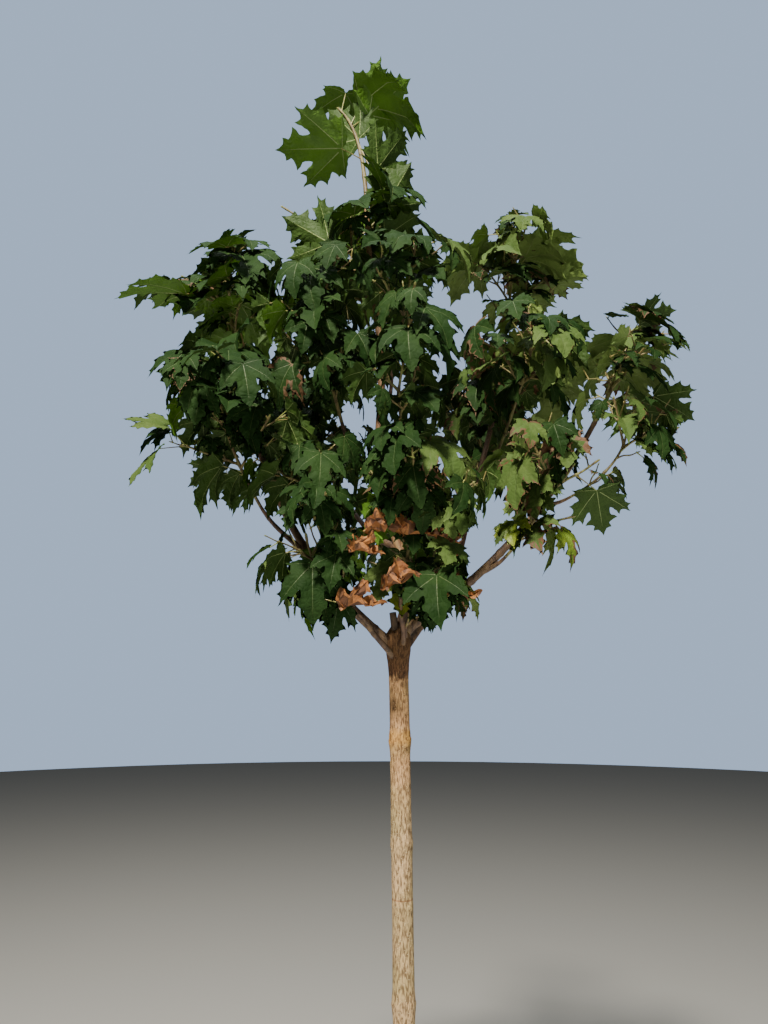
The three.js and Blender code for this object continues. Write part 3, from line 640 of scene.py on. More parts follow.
# The mass, the foot of the blade, the ways its tip and its upper side point, its length, and what it is like:
# bright where the light shines through it, dark in shade, fresh or scorched
LEAVES_THAT_STAND_OUT = [
    ("right_low", (342, -50, 1915), (0.25, 0.6, -0.75), (0.1, 0.8, 0.6), 84, "dark"),
    ("left_top", (-382, -80, 2270), (-1, -0.02, 0.06), (0.05, -0.12, 1), 122, "bright"),
    ("tip", (-110, -20, 2613), (-1, 0.05, 0.03), (-0.05, 0.6, 0.8), 124, "bright"),
    ("tip", (-58, 0, 2705), (0.66, 0.05, 0.74), (-0.6, 0.65, 0.45), 114, "bright"),
    ("tip", (-78, 5, 2655), (-0.55, 0.3, 0.8), (0.3, 0.85, 0.3), 106, "dark"),
    ("tip", (-40, -8, 2578), (0.5, 0.1, 0.85), (-0.5, 0.75, 0.45), 102, "dark"),
    ("tip", (-22, -30, 2480), (0.36, 0.15, 0.9), (-0.4, 0.85, 0.35), 104, "dark"),
    ("collar", (-29, -40, 2405), (1, 0.05, -0.1), (0.1, 0.6, 0.8), 92, "dark"),
    ("collar", (-130, -50, 2390), (-0.72, 0.2, 0.55), (-0.1, 0.85, 0.5), 104, "dark"),
    ("left_outer", (-402, -80, 2022), (-0.95, -0.1, 0.2), (0.2, -0.5, 0.8), 74, "bright"),
    ("left_outer", (-413, -80, 1982), (-0.6, -0.2, -0.8), (-0.7, -0.4, 0.5), 80, "bright"),
    ("right_top", (448, -20, 2240), (0.85, 0, 0.4), (-0.4, 0.5, 0.75), 72, "dark"),
    ("right_outer", (460, -30, 2095), (0.82, 0, -0.5), (0.4, 0.5, 0.75), 80, "dark"),
    ("right_low", (262, -160, 1985), (0, -0.3, -0.95), (0, -0.9, 0.3), 66, "scorched"),
    ("knuckle", (0, -36, 1768), (0.02, -0.5, -0.86), (0, -0.86, 0.5), 76, "fresh"),
    ("knuckle", (-13, -112, 1770), (-0.5, -0.2, -0.85), (-0.2, -0.95, 0.35), 62, "dark"),
]

# %% Leaves set, and openings cleared
MEASURED_CURL = 0.04
TWIG_FOOT = 8  # millimetres from a twig's foot, below which a leaf isn't its own
ON_TWIG = 4


def nearest(leaves, place):
    """The leaf whose stalk starts nearest to a place."""
    return min(leaves, key=lambda one: size_of(one.node - place))


def keeps_open(points):
    """Whether points leave every opening free, as seen from the camera."""
    sight = points - EYE
    x, _, z = (EYE + sight * (-EYE[1] / sight[:, 1:2])).T
    return not any(((x - at_x) ** 2 + (z - at_z) ** 2 < radius ** 2).any() for at_x, at_z, radius in OPENINGS)


def is_on(twig, place):
    """Whether a place lies on a twig, past its foot."""
    along = (place - twig.node) @ twig.way
    beside = size_of(place - twig.node - twig.way * along)
    return TWIG_FOOT < along < twig.length + 2 and beside < ON_TWIG


def set_leaf(name, base, along, out, length, look):
    """The mass's nearest leaf is turned and moved to a place that was measured."""
    plant = next(plant for plant in plants if plant.mass.name == name)
    base = np.array(base, float)
    leaf = nearest([leaf for leaf in plant.leaves if not leaf.measured], base)
    leaf.measured = look
    leaf.curl = MEASURED_CURL
    leaf.base = base
    leaf.stalk = unit(base - leaf.node)
    leaf.along = unit(np.array(along, float))
    leaf.side = unit(cross(leaf.along, np.array(out, float)))
    leaf.out = cross(leaf.side, leaf.along)
    leaf.length = length
    shape_of(leaf)


def leaves_that_stay(plant):
    return [leaf for leaf in plant.leaves if leaf.measured or keeps_open(blade_points(leaf, SAMPLES))]


def twigs_that_stay(plant):
    return [twig for twig in plant.twigs if any(is_on(twig, leaf.node) for leaf in plant.leaves)]


for facts in LEAVES_THAT_STAND_OUT:
    set_leaf(*facts)
for plant in plants:
    plant.leaves = leaves_that_stay(plant)
    plant.twigs = twigs_that_stay(plant)
print("leaves left round the openings:", sum(len(plant.leaves) for plant in plants))

# %% [markdown]
# The solids stop at about twenty leaves a mass, because each face there costs. The real crown has shorter
# spurs between those twigs, with smaller leaves that close the gaps between one mass and the next. They
# follow the same rule and stay within their mass's reach. Each new leaf is tested against every leaf near
# it, whatever mass that belongs to, so nothing has to be kept apart by borders.

# %% The whole crown, for testing finer leaves
CROWN_ROOM = 3000  # leaves that the arrays have room for
NEAR = 210  # millimetres, past which two leaves can't meet
FINE_LIMB_CLEARANCE = 0.6 * LIMB_CLEARANCE
FINE_INSET = 0.07  # how far inside its mass's reach a finer leaf stays, so that single large ones stand out

crown = SimpleNamespace(
    count=0, hearts=np.zeros((CROWN_ROOM, 3)), samples=np.zeros((CROWN_ROOM, len(SAMPLES), 3)),
    triangles=np.zeros((CROWN_ROOM, len(CORNERS), 3, 3)),
    segments=np.zeros((CROWN_ROOM, 1 + 2 * len(CORNERS), 2, 3)),
    twigs=[np.array([twig.node, twig.tip]) for plant in plants for twig in plant.twigs],
)


def add_to_crown(leaf):
    spot = crown.count
    crown.hearts[spot] = leaf.triangles[0, 0]
    crown.samples[spot] = leaf.samples
    crown.triangles[spot] = leaf.triangles
    crown.segments[spot] = leaf.segments
    crown.count += 1


def leaves_near(place):
    """The numbers of the crown's leaves that could touch a leaf or twig at a place."""
    return np.where(((crown.hearts[:crown.count] - place) ** 2).sum(1) < NEAR ** 2)[0]


def in_reach(mass, points, margin):
    """Whether points lie in the mass's spheroid."""
    off = (points - mass.heart) / (mass.reach - margin, mass.reach - margin, mass.rise - margin)
    return bool(((off ** 2).sum(1) <= 1).all())


def fine_leaf_fits(mass, leaf, bark, clearance):
    """Whether a finer leaf keeps to its reach, out of the openings, and off all bark and leaves near it."""
    corners = blade_points(leaf, CORNERS)
    if not in_reach(mass, np.vstack([corners, leaf.node]), FINE_INSET * mass.reach):
        return False
    samples = blade_points(leaf, SAMPLES)
    if not keeps_open(np.vstack([corners, samples])):
        return False
    near = leaves_near(blade_points(leaf, np.array([BLADE_HEART]))[0])
    gap = ((crown.samples[near].reshape(-1, 1, 3) - samples[None]) ** 2).sum(2)
    if not (gap > clearance ** 2).all():
        return False
    fine = blade_points(leaf, FINE_SAMPLES)
    gap = np.sqrt(((bark.points[:, None] - fine[None]) ** 2).sum(2))
    if not (gap > bark.radii[:, None] + FINE_LIMB_CLEARANCE).all():
        return False
    following = np.roll(corners, -1, axis=0)
    if not lines_off_bark(bark, corners, following, EDGE_CLEARANCE):
        return False
    if not lines_off_bark(bark, leaf.node[None], leaf.base[None], STALK_RADIUS + 1):
        return False
    shape_of(leaf)
    if any_cross(leaf.segments, crown.triangles[near].reshape(-1, 3, 3)):
        return False
    near_lines = np.concatenate([crown.segments[near].reshape(-1, 2, 3), bark_lines, crown.twigs])
    return not any_cross(near_lines, leaf.triangles)


for plant in plants:
    for leaf in plant.leaves:
        add_to_crown(leaf)
print("leaves in the crown so far:", crown.count)

# %% Finer spurs and smaller leaves
SPUR_NODES = [0.8, 0.5, 0.22]  # shares of a twig's length
SPUR_LENGTH = 52
SPUR_RADIUS = 1.5
SPUR_LEAF = 0.74
SPUR_OPENING = radians(50)
FINE_CLEARANCE = 8.5
FINE_ROLL = 55  # degrees that a finer leaf may lean to either side


def grow_fine_leaf(plant, node, axis, azimuth, size, keys):
    """The first try that fits becomes a leaf of the plant. Says whether one did."""
    for attempt in range(TRIES):
        leaf = leaf_at(plant.mass, node, axis, azimuth, size, keys, attempt, FINE_ROLL)
        if fine_leaf_fits(plant.mass, leaf, plant.bark, FINE_CLEARANCE):
            plant.leaves.append(leaf)
            add_to_crown(leaf)
            return True
    return False


def grow_spur(plant, node, axis, azimuth, keys):
    """A short shoot with a leaf at its tip and a pair below it."""
    mass = plant.mass
    outward = out_from(axis, azimuth)
    way = unit(axis * cos(SPUR_OPENING) + outward * sin(SPUR_OPENING) + UP * TWIG_LIFT)
    length = SPUR_LENGTH * (1 + spread(0.35, *keys, 2))
    tip = node + way * length
    if not in_reach(mass, np.array([node, tip]), SPACE_MARGIN + SPUR_RADIUS):
        return
    if not lines_off_bark(plant.bark, node[None], tip[None], SPUR_RADIUS + 1):
        return
    if any_cross(np.array([[node, tip]]), crown.triangles[leaves_near(tip)].reshape(-1, 3, 3)):
        return
    size = SPUR_LEAF * LEAF_LENGTH
    turn = 2 * pi * chance(*keys, 3)
    crown.twigs.append(np.array([node, tip]))
    grown = grow_fine_leaf(plant, tip - way * 2, way, turn, size, (*keys, 10))
    for half in (0, 1):
        grown |= grow_fine_leaf(plant, lerp(node, tip, 0.6), way, turn + pi * half, size, (*keys, 20 + half))
    if grown:
        plant.twigs.append(SimpleNamespace(node=node, tip=tip, way=way, length=length, radius=SPUR_RADIUS))
    else:
        crown.twigs.pop()


def grow_finer(plant, index):
    """Spurs along every twig of a mass, and between the pairs on its stem."""
    for number, twig in enumerate(list(plant.twigs)):
        for place, share in enumerate(SPUR_NODES):
            for half in (0, 1):
                at = lerp(twig.node, twig.tip, share)
                turn = pi * (half + 0.5 * place) + spread(0.6, index, number, 40, place)
                grow_spur(plant, at, twig.way, turn, (index, number, 50 + 2 * place + half))
    for number, share in enumerate(plant.nodes):
        for half in (0, 1):
            t = max(0.04, share - 0.5 / len(plant.nodes))
            turn = pi * (half + 0.5 * number) + spread(0.6, index, number, 60)
            axis = plant.stem.line.direction(t)
            grow_spur(plant, plant.stem.line.point(t), axis, turn, (index, number, 70 + half))


for index, plant in enumerate(plants):
    if plant.mass.finer:
        grow_finer(plant, index)
print("leaves with the finer spurs:", crown.count)
print("twigs:", sum(len(plant.twigs) for plant in plants))

# %% [markdown]
# The leaf is what makes this a maple: five pointed lobes with a few long teeth, veins that fan out from the
# stalk, and a surface that puffs up between them. A picture on a flat card would show all that from one side
# only, and its colours would slide in the exported model. So one blade is cut in outline and filled with
# triangles that follow its veins, and every leaf is that blade, bent in its own way. The veins are narrow
# faces of their own, so they keep their colour wherever the leaf goes.

# %% One blade, flat
# The right edge from the stalk to the tip: points of teeth and the hollows between them
EDGE = [
    (0.0, 0.0), (0.05, -0.06), (0.15, -0.09), (0.26, -0.075), (0.35, -0.05), (0.5, -0.035), (0.43, 0.04),
    (0.475, 0.09), (0.41, 0.135), (0.39, 0.195), (0.48, 0.235), (0.61, 0.29), (0.54, 0.37), (0.55, 0.44),
    (0.66, 0.5), (0.58, 0.57), (0.635, 0.695), (0.535, 0.63), (0.44, 0.625), (0.4, 0.72), (0.345, 0.61),
    (0.28, 0.535), (0.22, 0.5), (0.205, 0.57), (0.22, 0.66), (0.345, 0.76), (0.225, 0.79), (0.155, 0.84),
    (0.19, 0.925), (0.085, 0.935), (0.0, 1.07),
]
SAG = 0.08  # how far an edge between two points is hollowed, as a share of its length
VEINS = [  # from the stalk to near a lobe's tip, and the width at the stalk
    ((0.0, 0.98), 0.018), ((0.58, 0.635), 0.015), ((-0.58, 0.635), 0.015), ((0.44, -0.02), 0.01),
    ((-0.44, -0.02), 0.01),
]
RIBS = [  # side veins: only folds in the blade
    ((0.0, 0.34), (0.19, 0.6)), ((0.0, 0.5), (0.27, 0.74)), ((0.0, 0.7), (0.12, 0.89)),
    ((0.24, 0.26), (0.36, 0.62)), ((0.24, 0.26), (0.52, 0.33)), ((0.38, 0.42), (0.59, 0.5)),
    ((0.17, 0.0), (0.4, 0.15)),
]
GRID = 0.125


def sagged(points):
    """The outline with one more point on each side, drawn in towards the blade."""
    middle = np.array((0.0, 0.35))
    made = []
    for a, b in zip(points, points[1:]):
        a, b = np.array(a), np.array(b)
        half = (a + b) / 2
        run = b - a
        normal = np.array((-run[1], run[0]))
        if normal @ (middle - half) < 0:
            normal = -normal
        made += [a, half + normal * SAG]
    return made + [np.array(points[-1])]


def mirrored(points):
    return [np.array((-u, v)) for u, v in points]


def distance_to(places, start, end):
    run = np.array(end) - np.array(start)
    share = np.clip(((places - start) @ run) / (run @ run), 0, 1)
    return np.sqrt(((places - start - share[:, None] * run) ** 2).sum(1)), share


def vein_outline(end, width):
    """A vein's two edges, from a little way up it to its end."""
    end = np.array(end)
    beside = np.array((-end[1], end[0])) / np.sqrt(end @ end) * width / 2
    stations = [(s, 1 - 0.75 * s) for s in (0.1, 0.4, 0.7)]
    right = [end * s + beside * w for s, w in stations]
    left = [end * s - beside * w for s, w in stations]
    return right, left, end


def inside(places, loop):
    """Which places lie inside a closed outline."""
    flags = np.zeros(len(places), bool)
    for (ax, ay), (bx, by) in zip(loop, np.roll(loop, -1, axis=0)):
        straddles = (ay > places[:, 1]) != (by > places[:, 1])
        rise = by - ay if by != ay else 1e-12
        flags ^= straddles & (places[:, 0] < (bx - ax) * (places[:, 1] - ay) / rise + ax)
    return flags


def cut_blade():
    right = sagged(EDGE)
    loop = np.array(right + mirrored(right[1:-1])[::-1])
    points = [tuple(p) for p in loop]
    edges = [(i, (i + 1) % len(loop)) for i in range(len(loop))]
    for end, width in VEINS:
        one, two, tip = vein_outline(end, width)
        first = len(points)
        points += [tuple(p) for p in [*one, tip, *two[::-1]]]
        edges += [(first + i, first + i + 1) for i in range(len(one) + len(two))]
    ribs = RIBS + [((-a, b), (-c, d)) for (a, b), (c, d) in RIBS]
    for start, end in ribs:
        first = len(points)
        points += [tuple(lerp(np.array(start), np.array(end), s)) for s in (0.35, 0.9)]
        edges.append((first, first + 1))
    rows = [(GRID * (i + 0.5 * (j % 2)), GRID * 0.87 * j) for j in range(-1, 12) for i in range(-7, 8)]
    rows = np.array(rows)
    rows = rows[inside(rows, loop)]
    fixed = np.array(points)
    near = np.sqrt(((rows[:, None] - fixed[None]) ** 2).sum(2)).min(1)
    points += [tuple(p) for p in rows[near > 0.055]]
    made = delaunay_2d_cdt([Vector(p) for p in points], edges, [], 1, 1e-5)
    return np.array([(p.x, p.y) for p in made[0]]), made[2], loop, ribs


def turned_up(face):
    """A flat triangle's points in the order that makes it face up."""
    first, second, third = places[list(face)]
    return list(face) if np.cross(second - first, third - first) > 0 else list(face)[::-1]


def gap_to_edge(spots):
    return np.min([distance_to(spots, a, b)[0] for a, b in zip(loop, np.roll(loop, -1, axis=0))], axis=0)


places, triangles, loop, ribs = cut_blade()
triangles = np.array([turned_up(face) for face in triangles])
# A tip's triangle has all its points on the outline. One more in its middle lets it have a thickness.
at_tip = (gap_to_edge(places) < 1e-4)[triangles].all(1)
tips = triangles[at_tip]
middles = len(places) + np.arange(len(tips))
fans = [np.stack([tips[:, i], tips[:, (i + 1) % 3], middles], axis=1) for i in range(3)]
places = np.concatenate([places, places[tips].mean(1)])
triangles = np.concatenate([triangles[~at_tip], *fans])
print("blade:", len(places), "points,", len(triangles), "triangles a side")

# %% What every place on the blade is like
on_edge = gap_to_edge(places) < 1e-4
vein_gap = np.min([distance_to(places, np.zeros(2), end)[0] for end, width in VEINS], axis=0)
rib_gap = np.min([distance_to(places, np.array(a), np.array(b))[0] for a, b in ribs], axis=0)
centres = places[triangles].mean(1)
on_vein = np.zeros(len(triangles), bool)
for vein_end, vein_width in VEINS:
    gap, share = distance_to(centres, np.zeros(2), vein_end)
    on_vein |= (gap < vein_width * (1 - 0.75 * share) / 2) & (share < 0.99)
near_edge = gap_to_edge(centres)
puff = 0.04 * (1 - np.exp(-np.minimum(vein_gap, 1.6 * rib_gap + 0.012) / 0.06))
print("faces on veins:", int(on_vein.sum()))

# %% [markdown]
# No two leaves hang alike. Each is folded along its middle vein, curls down at the tips of its lobes, and
# waves a little along its edge. A few near the fork have withered: those are rolled in from both sides and
# crumpled, and some more are only brown along the edge. Tints go by the spray and by age, and light and shade
# are painted into them: more leaves are dark green on the crown's shaded side, and undersides that the sun
# would shine through are painted bright.

# %% Leaves bent into shape, and the tint of each
BLADE_HALF = 0.0016  # half the blade's thickness, as a share of its length
TINTS = [
    "leaf_deep", "leaf_full", "leaf_fresh", "leaf_scorched", "leaf_dried", "leaf_dried_deep", "leaf_under",
    "leaf_under_bright", "leaf_under_olive", "leaf_vein", "leaf_vein_under",
]
DEEP, FULL, FRESH, SCORCHED, DRIED, DRIED_DEEP, UNDER, UNDER_PAINTED_SUN, UNDER_OLIVE_PAINTED_SUN, VEIN, VEIN_UNDER = range(11)
# The upper masses: nearly all their undersides are painted bright, for the sun shining through them.
LIGHT_MASSES = {"tip", "collar", "left_top", "right_tall", "right_top"}
HANGING_SIZE = 0.86  # how large a leaf is drawn in the masses below those
SUNNY_SIDE = 60  # millimetres right of the stem, from where the sun reaches the crown and scorches it
LOW_SUN = 1930  # below this height fewer leaves of the sunny side are deep green
# Shares of leaves in the dark green, which paints the crown's shade: nearly all on the shaded side, fewer in
# the sun.
DEEP_SHARES = SimpleNamespace(shade=0.97, sun=0.55, low_sun=0.35)
SCORCHED_SHARES = SimpleNamespace(shade=0.02, sun=0.3)
FRESH_RIGHT_OF, FRESH_BELOW, FRESH_SHARE = 150, 1850, 0.45  # new growth in the lowest mass on the right
SHADED_RIGHT_OF, SHADED_ABOVE = -360, 1850  # few undersides there are lit through
# Shares of leaves whose undersides are painted bright, as if the sun shone through them.
BRIGHT_SHARES = SimpleNamespace(light_mass=0.9, shade=0.08, elsewhere=0.35)
MEASURED_SLACK = 0.25  # how much of the others' chance bends a measured leaf has
# Where each dried leaf hangs, the way it points, and its length
DRIED_LEAVES = [
    ((-60, -165, 1822), (1, -0.2, 0.1), 84), ((-14, -160, 1826), (1, 0.1, -0.1), 112),
    ((-32, -140, 1737), (0.7, -0.5, 0.2), 88), ((-104, -150, 1712), (1, 0.1, -0.05), 94),
    ((38, -125, 1722), (1, -0.1, 0.04), 104), ((-86, -160, 1800), (0.9, -0.3, -0.3), 76),
    ((48, -125, 1826), (0.8, 0.2, -0.5), 80),
]


def dry_one_leaf(place, way, length):
    """The nearest leaf withers: it shrinks and rolls up where its stalk still holds it."""
    place = np.array(place, float)
    green = [leaf for plant in plants for leaf in plant.leaves if not leaf.dried and not leaf.measured]
    leaf = nearest(green, place)
    leaf.dried = True
    leaf.base = place
    leaf.stalk = unit(place - leaf.node)
    leaf.along = unit(np.array(way, float))
    leaf.side = unit(cross(leaf.along, UP))
    leaf.out = cross(leaf.side, leaf.along)
    leaf.length = length


for plant in plants:
    for leaf in plant.leaves:
        leaf.dried = False
for dried_facts in DRIED_LEAVES:
    dry_one_leaf(*dried_facts)
for plant in plants:
    if plant.mass.name not in LIGHT_MASSES:
        for leaf in plant.leaves:
            leaf.length *= 1 if leaf.dried or leaf.measured else HANGING_SIZE


def tint_of(leaf, mass):
    """A leaf's green, and whether its edge is scorched. Dark green goes to more leaves on the crown's shaded
    side, as painted shade.
    """
    middle = leaf.base + leaf.along * leaf.length * 0.4
    roll = chance(*leaf.keys, 300)
    spray = chance(*leaf.keys[:3], 301)
    if leaf.dried:
        return DRIED, False
    if leaf.measured:
        return (FRESH if leaf.measured == "fresh" else FULL), leaf.measured == "scorched"
    # Painted shade: on the shaded side nearly every leaf gets the dark green, and in the sun fewer do.
    if middle[0] > SUNNY_SIDE:
        scorched_share = SCORCHED_SHARES.sun
        deep_share = DEEP_SHARES.low_sun if middle[2] < LOW_SUN else DEEP_SHARES.sun
    else:
        scorched_share = SCORCHED_SHARES.shade
        deep_share = DEEP_SHARES.shade
    new_growth = mass.name == "right_low" and middle[0] > FRESH_RIGHT_OF and middle[2] < FRESH_BELOW
    if new_growth and spray < FRESH_SHARE:
        return FRESH, roll < scorched_share
    return (DEEP if spray < deep_share else FULL), roll < scorched_share


def bent_leaf(leaf):
    """The blade's upper and lower points in metres: folded, curled, with drooping tips and a wavy edge."""
    u, v = places[:, 0], places[:, 1]
    far = np.sqrt(u * u + (v - 0.2) ** 2)
    keys = leaf.keys
    around = np.arctan2(u, v + 0.05)
    wave = 0.04 * np.sin(around * (4 + 2 * chance(*keys, 310)) + 6.3 * chance(*keys, 311)) * far
    wave += 0.05 * np.sin(around * 9 + 6.3 * chance(*keys, 312)) * np.maximum(far - 0.3, 0)
    twist = spread(0.25, *keys, 313) * u * v
    slack = MEASURED_SLACK if leaf.measured else 1
    tips = -0.8 * np.maximum(far - 0.38, 0) ** 2 * (0.2 + 1.6 * slack * chance(*keys, 314))
    fold = leaf.fold + 0.34 * slack * chance(*keys, 315) ** 2
    curl = leaf.curl + 0.2 * slack * chance(*keys, 316)
    lift = fold * np.sqrt(u * u + 0.0004) - curl * (u * u + v * v) + wave + twist + tips + puff
    half = np.where(on_edge, 0, BLADE_HALF)
    rib = 0.006 * np.exp(-vein_gap / 0.008) * (~on_edge)
    level = leaf.base + (np.outer(u, leaf.side) + np.outer(v, leaf.along)) * leaf.length
    upper = level + np.outer(lift + half, leaf.out) * leaf.length
    lower = level + np.outer(lift - half - rib, leaf.out) * leaf.length
    return upper * MM, lower * MM


ROLL_TIGHTNESS = 4.6  # radians for each unit of the blade's width
ROLL_START = 0.13
CRUMPLE = 0.07
LOBES_DRAWN_IN = 0.75


def rolled_leaf(leaf):
    """A dried blade, rolled in from both sides like a scroll, and crumpled."""
    seed = 6.3 * chance(*leaf.keys, 330)
    from_heart = places - (0, 0.38)
    far = np.sqrt((from_heart ** 2).sum(1))
    u, v = (from_heart * (1 - LOBES_DRAWN_IN * np.maximum(far - 0.2, 0))[:, None] + (0, 0.38)).T
    turn = np.abs(u) * ROLL_TIGHTNESS
    radius = ROLL_START + 0.12 * np.abs(u)
    width = np.sign(u) * radius * np.sin(turn) * (0.9 + 0.5 * np.cos(3 * v + seed))
    height = radius * (1 - np.cos(turn)) * 1.3 - 0.25 * (v - 0.45) ** 2
    length = v * 0.95 + 0.06 * np.sin(6 * u + seed)
    width = width + CRUMPLE * np.sin(17 * v + 5 * u + seed)
    height = height + CRUMPLE * np.sin(14 * v - 9 * u + 2 * seed) + 0.6 * CRUMPLE * np.sin(23 * u + 11 * v)
    length = length + 0.6 * CRUMPLE * np.sin(15 * u + seed)
    half = np.where(on_edge, 0, BLADE_HALF * 2)
    skin = leaf.base + leaf.length * (
        np.outer(width, leaf.side) + np.outer(length, leaf.along) + np.outer(height, leaf.out))
    away = np.outer(half * np.cos(turn), leaf.out) - np.outer(half * np.sign(u) * np.sin(turn), leaf.side)
    return (skin + away * leaf.length) * MM, (skin - away * leaf.length) * MM


def faces_of(tint, scorched, leaf, light):
    """The material of each upper and each lower face. Undersides are painted bright where the sun would shine
    through them, in olive on the sunny side.
    """
    keys = leaf.keys
    shaded = SHADED_RIGHT_OF < leaf.base[0] < SUNNY_SIDE and leaf.base[2] > SHADED_ABOVE
    bright_share = BRIGHT_SHARES.shade if shaded else BRIGHT_SHARES.elsewhere
    if light:
        bright_share = BRIGHT_SHARES.light_mass
    # A bright underside is painted light: the sun shining through the blade.
    bright = tint == FRESH or chance(*keys, 320) < bright_share
    if leaf.measured:
        bright = leaf.measured == "bright"
    lit_through = UNDER_OLIVE_PAINTED_SUN if leaf.base[0] > SUNNY_SIDE else UNDER_PAINTED_SUN
    upper = np.full(len(triangles), tint)
    lower = np.full(len(triangles), lit_through if bright else UNDER)
    if tint == DRIED:
        # Stripes of darker brown across the dried blade: painted shade in its crumples, and a withered leaf's
        # darker patches.
        crease_shade_and_patches = np.sin(19 * centres[:, 0] + 27 * centres[:, 1] + 6.3 * chance(*keys, 323)) > 0.2
        upper[crease_shade_and_patches] = DRIED_DEEP
        return upper, upper
    upper[on_vein] = VEIN
    lower[on_vein] = VEIN_UNDER
    if scorched:
        width = 0.12 if leaf.measured else 0.02 + 0.06 * chance(*keys, 321)
        side = np.sin(np.arctan2(centres[:, 0], centres[:, 1]) * 3 + 6.3 * chance(*keys, 322)) > -0.2
        burnt = (near_edge < width) & side
        upper[burnt] = SCORCHED
        lower[burnt] = SCORCHED
    return upper, lower


# %% Leaves joined, a piece for each mass
inner_index = np.where(~on_edge)[0]
lower_of = np.arange(len(places))
lower_of[inner_index] = len(places) + np.arange(len(inner_index))
LEAF_FACES = np.concatenate([triangles, lower_of[triangles][:, ::-1]])
LEAF_POINTS = len(places) + len(inner_index)


def joined_piece(name, spots, faces, slots=None):
    """One mesh from arrays of points and triangles."""
    mesh = bpy.data.meshes.new(name)
    mesh.vertices.add(len(spots))
    mesh.vertices.foreach_set("co", np.asarray(spots, np.float32).ravel())
    mesh.loops.add(len(faces) * 3)
    mesh.loops.foreach_set("vertex_index", np.asarray(faces, np.int32).ravel())
    mesh.polygons.add(len(faces))
    mesh.polygons.foreach_set("loop_start", np.arange(0, len(faces) * 3, 3, dtype=np.int32))
    if slots is not None:
        mesh.polygons.foreach_set("material_index", np.asarray(slots, np.int32))
    mesh.update(calc_edges=True)
    mesh.validate()
    piece = bpy.data.objects.new(name, mesh)
    bpy.context.scene.collection.objects.link(piece)
    return piece


def smooth(piece, angle):
    deselect()
    piece.select_set(True)
    bpy.context.view_layer.objects.active = piece
    bpy.ops.object.shade_smooth_by_angle(angle=radians(angle))
    piece.select_set(False)


leaf_pieces = {}
for plant in plants:
    spots, faces, slots = [], [], []
    for leaf in plant.leaves:
        tint, scorched = tint_of(leaf, plant.mass)
        upper, lower = rolled_leaf(leaf) if leaf.dried else bent_leaf(leaf)
        first = LEAF_POINTS * len(spots)
        spots.append(np.concatenate([upper, lower[inner_index]]))
        faces.append(LEAF_FACES + first)
        slots += faces_of(tint, scorched, leaf, plant.mass.name in LIGHT_MASSES)
    name = plant.mass.name + "_blades"
    piece = joined_piece(name, np.concatenate(spots), np.concatenate(faces), np.concatenate(slots))
    smooth(piece, 65)
    leaf_pieces[plant.mass.name] = piece
print("triangles in leaves:", sum(len(piece.data.polygons) for piece in leaf_pieces.values()))

# %% [markdown]
# Stalks, twigs and buds are thin round things by the hundred, so they are arrays too: rings of points along
# a line, joined ring to ring. A stalk leaves the twig with a swollen foot and sags into the blade. A twig
# swells at every pair of leaves and ends in a pointed bud.

# %% Rings along a line
def ringed(points, radii, sides):
    """A closed tube through points in millimetres, with its own radius at each."""
    points = np.asarray(points, float)
    ways = np.gradient(points, axis=0)
    guide = UP if abs(unit(points[-1] - points[0])[2]) < 0.8 else BACKWARD
    turns = np.arange(sides) * 2 * pi / sides
    rings = []
    for point, way, radius in zip(points, ways, radii):
        one, two = across(unit(way), guide)
        rings.append(point + radius * (np.outer(np.cos(turns), one) + np.outer(np.sin(turns), two)))
    spots = np.concatenate([*rings, points[:1], points[-1:]])
    faces = []
    count = len(points)
    for ring in range(count - 1):
        for i in range(sides):
            a, b = ring * sides + i, ring * sides + (i + 1) % sides
            faces += [(a, b, b + sides), (a, b + sides, a + sides)]
    foot, tip = count * sides, count * sides + 1
    for i in range(sides):
        j = (i + 1) % sides
        faces += [(j, i, foot), ((count - 1) * sides + i, (count - 1) * sides + j, tip)]
    return spots * MM, np.array(faces)


def gathered(name, tubes):
    """Several tubes as one piece."""
    first = 0
    spots, faces = [], []
    for tube_spots, tube_faces in tubes:
        spots.append(tube_spots)
        faces.append(tube_faces + first)
        first += len(tube_spots)
    piece = joined_piece(name, np.concatenate(spots), np.concatenate(faces))
    smooth(piece, 50)
    return piece


# %% Stalks
STALK_STEPS = 6


def stalk_tube(leaf):
    """From inside the twig, out along the stalk, and sagging into the blade's foot."""
    start = leaf.node - leaf.stalk * 1.2
    end = leaf.base + leaf.along * leaf.length * 0.015
    reach = size_of(end - start)
    bend = start + leaf.stalk * reach * 0.62
    shares = np.linspace(0, 1, STALK_STEPS + 1)
    points = [start * (1 - s) ** 2 + bend * 2 * s * (1 - s) + end * s * s for s in shares]
    radii = [STALK_RADIUS * (1.05 + 0.75 * exp(-s * 9) - 0.3 * s) for s in shares]
    return ringed(points, radii, 6)


stalk_pieces = {
    plant.mass.name: gathered(plant.mass.name + "_stalks", [stalk_tube(leaf) for leaf in plant.leaves])
    for plant in plants
}


# %% Twigs and buds
def bud(point, way, length, radius):
    """A pointed bud with a full middle."""
    shape = [(0, 0.55), (0.22, 0.95), (0.45, 1.0), (0.7, 0.7), (0.9, 0.28), (1, 0.05)]
    return ringed([point + way * length * s for s, r in shape], [radius * r for s, r in shape], 6)


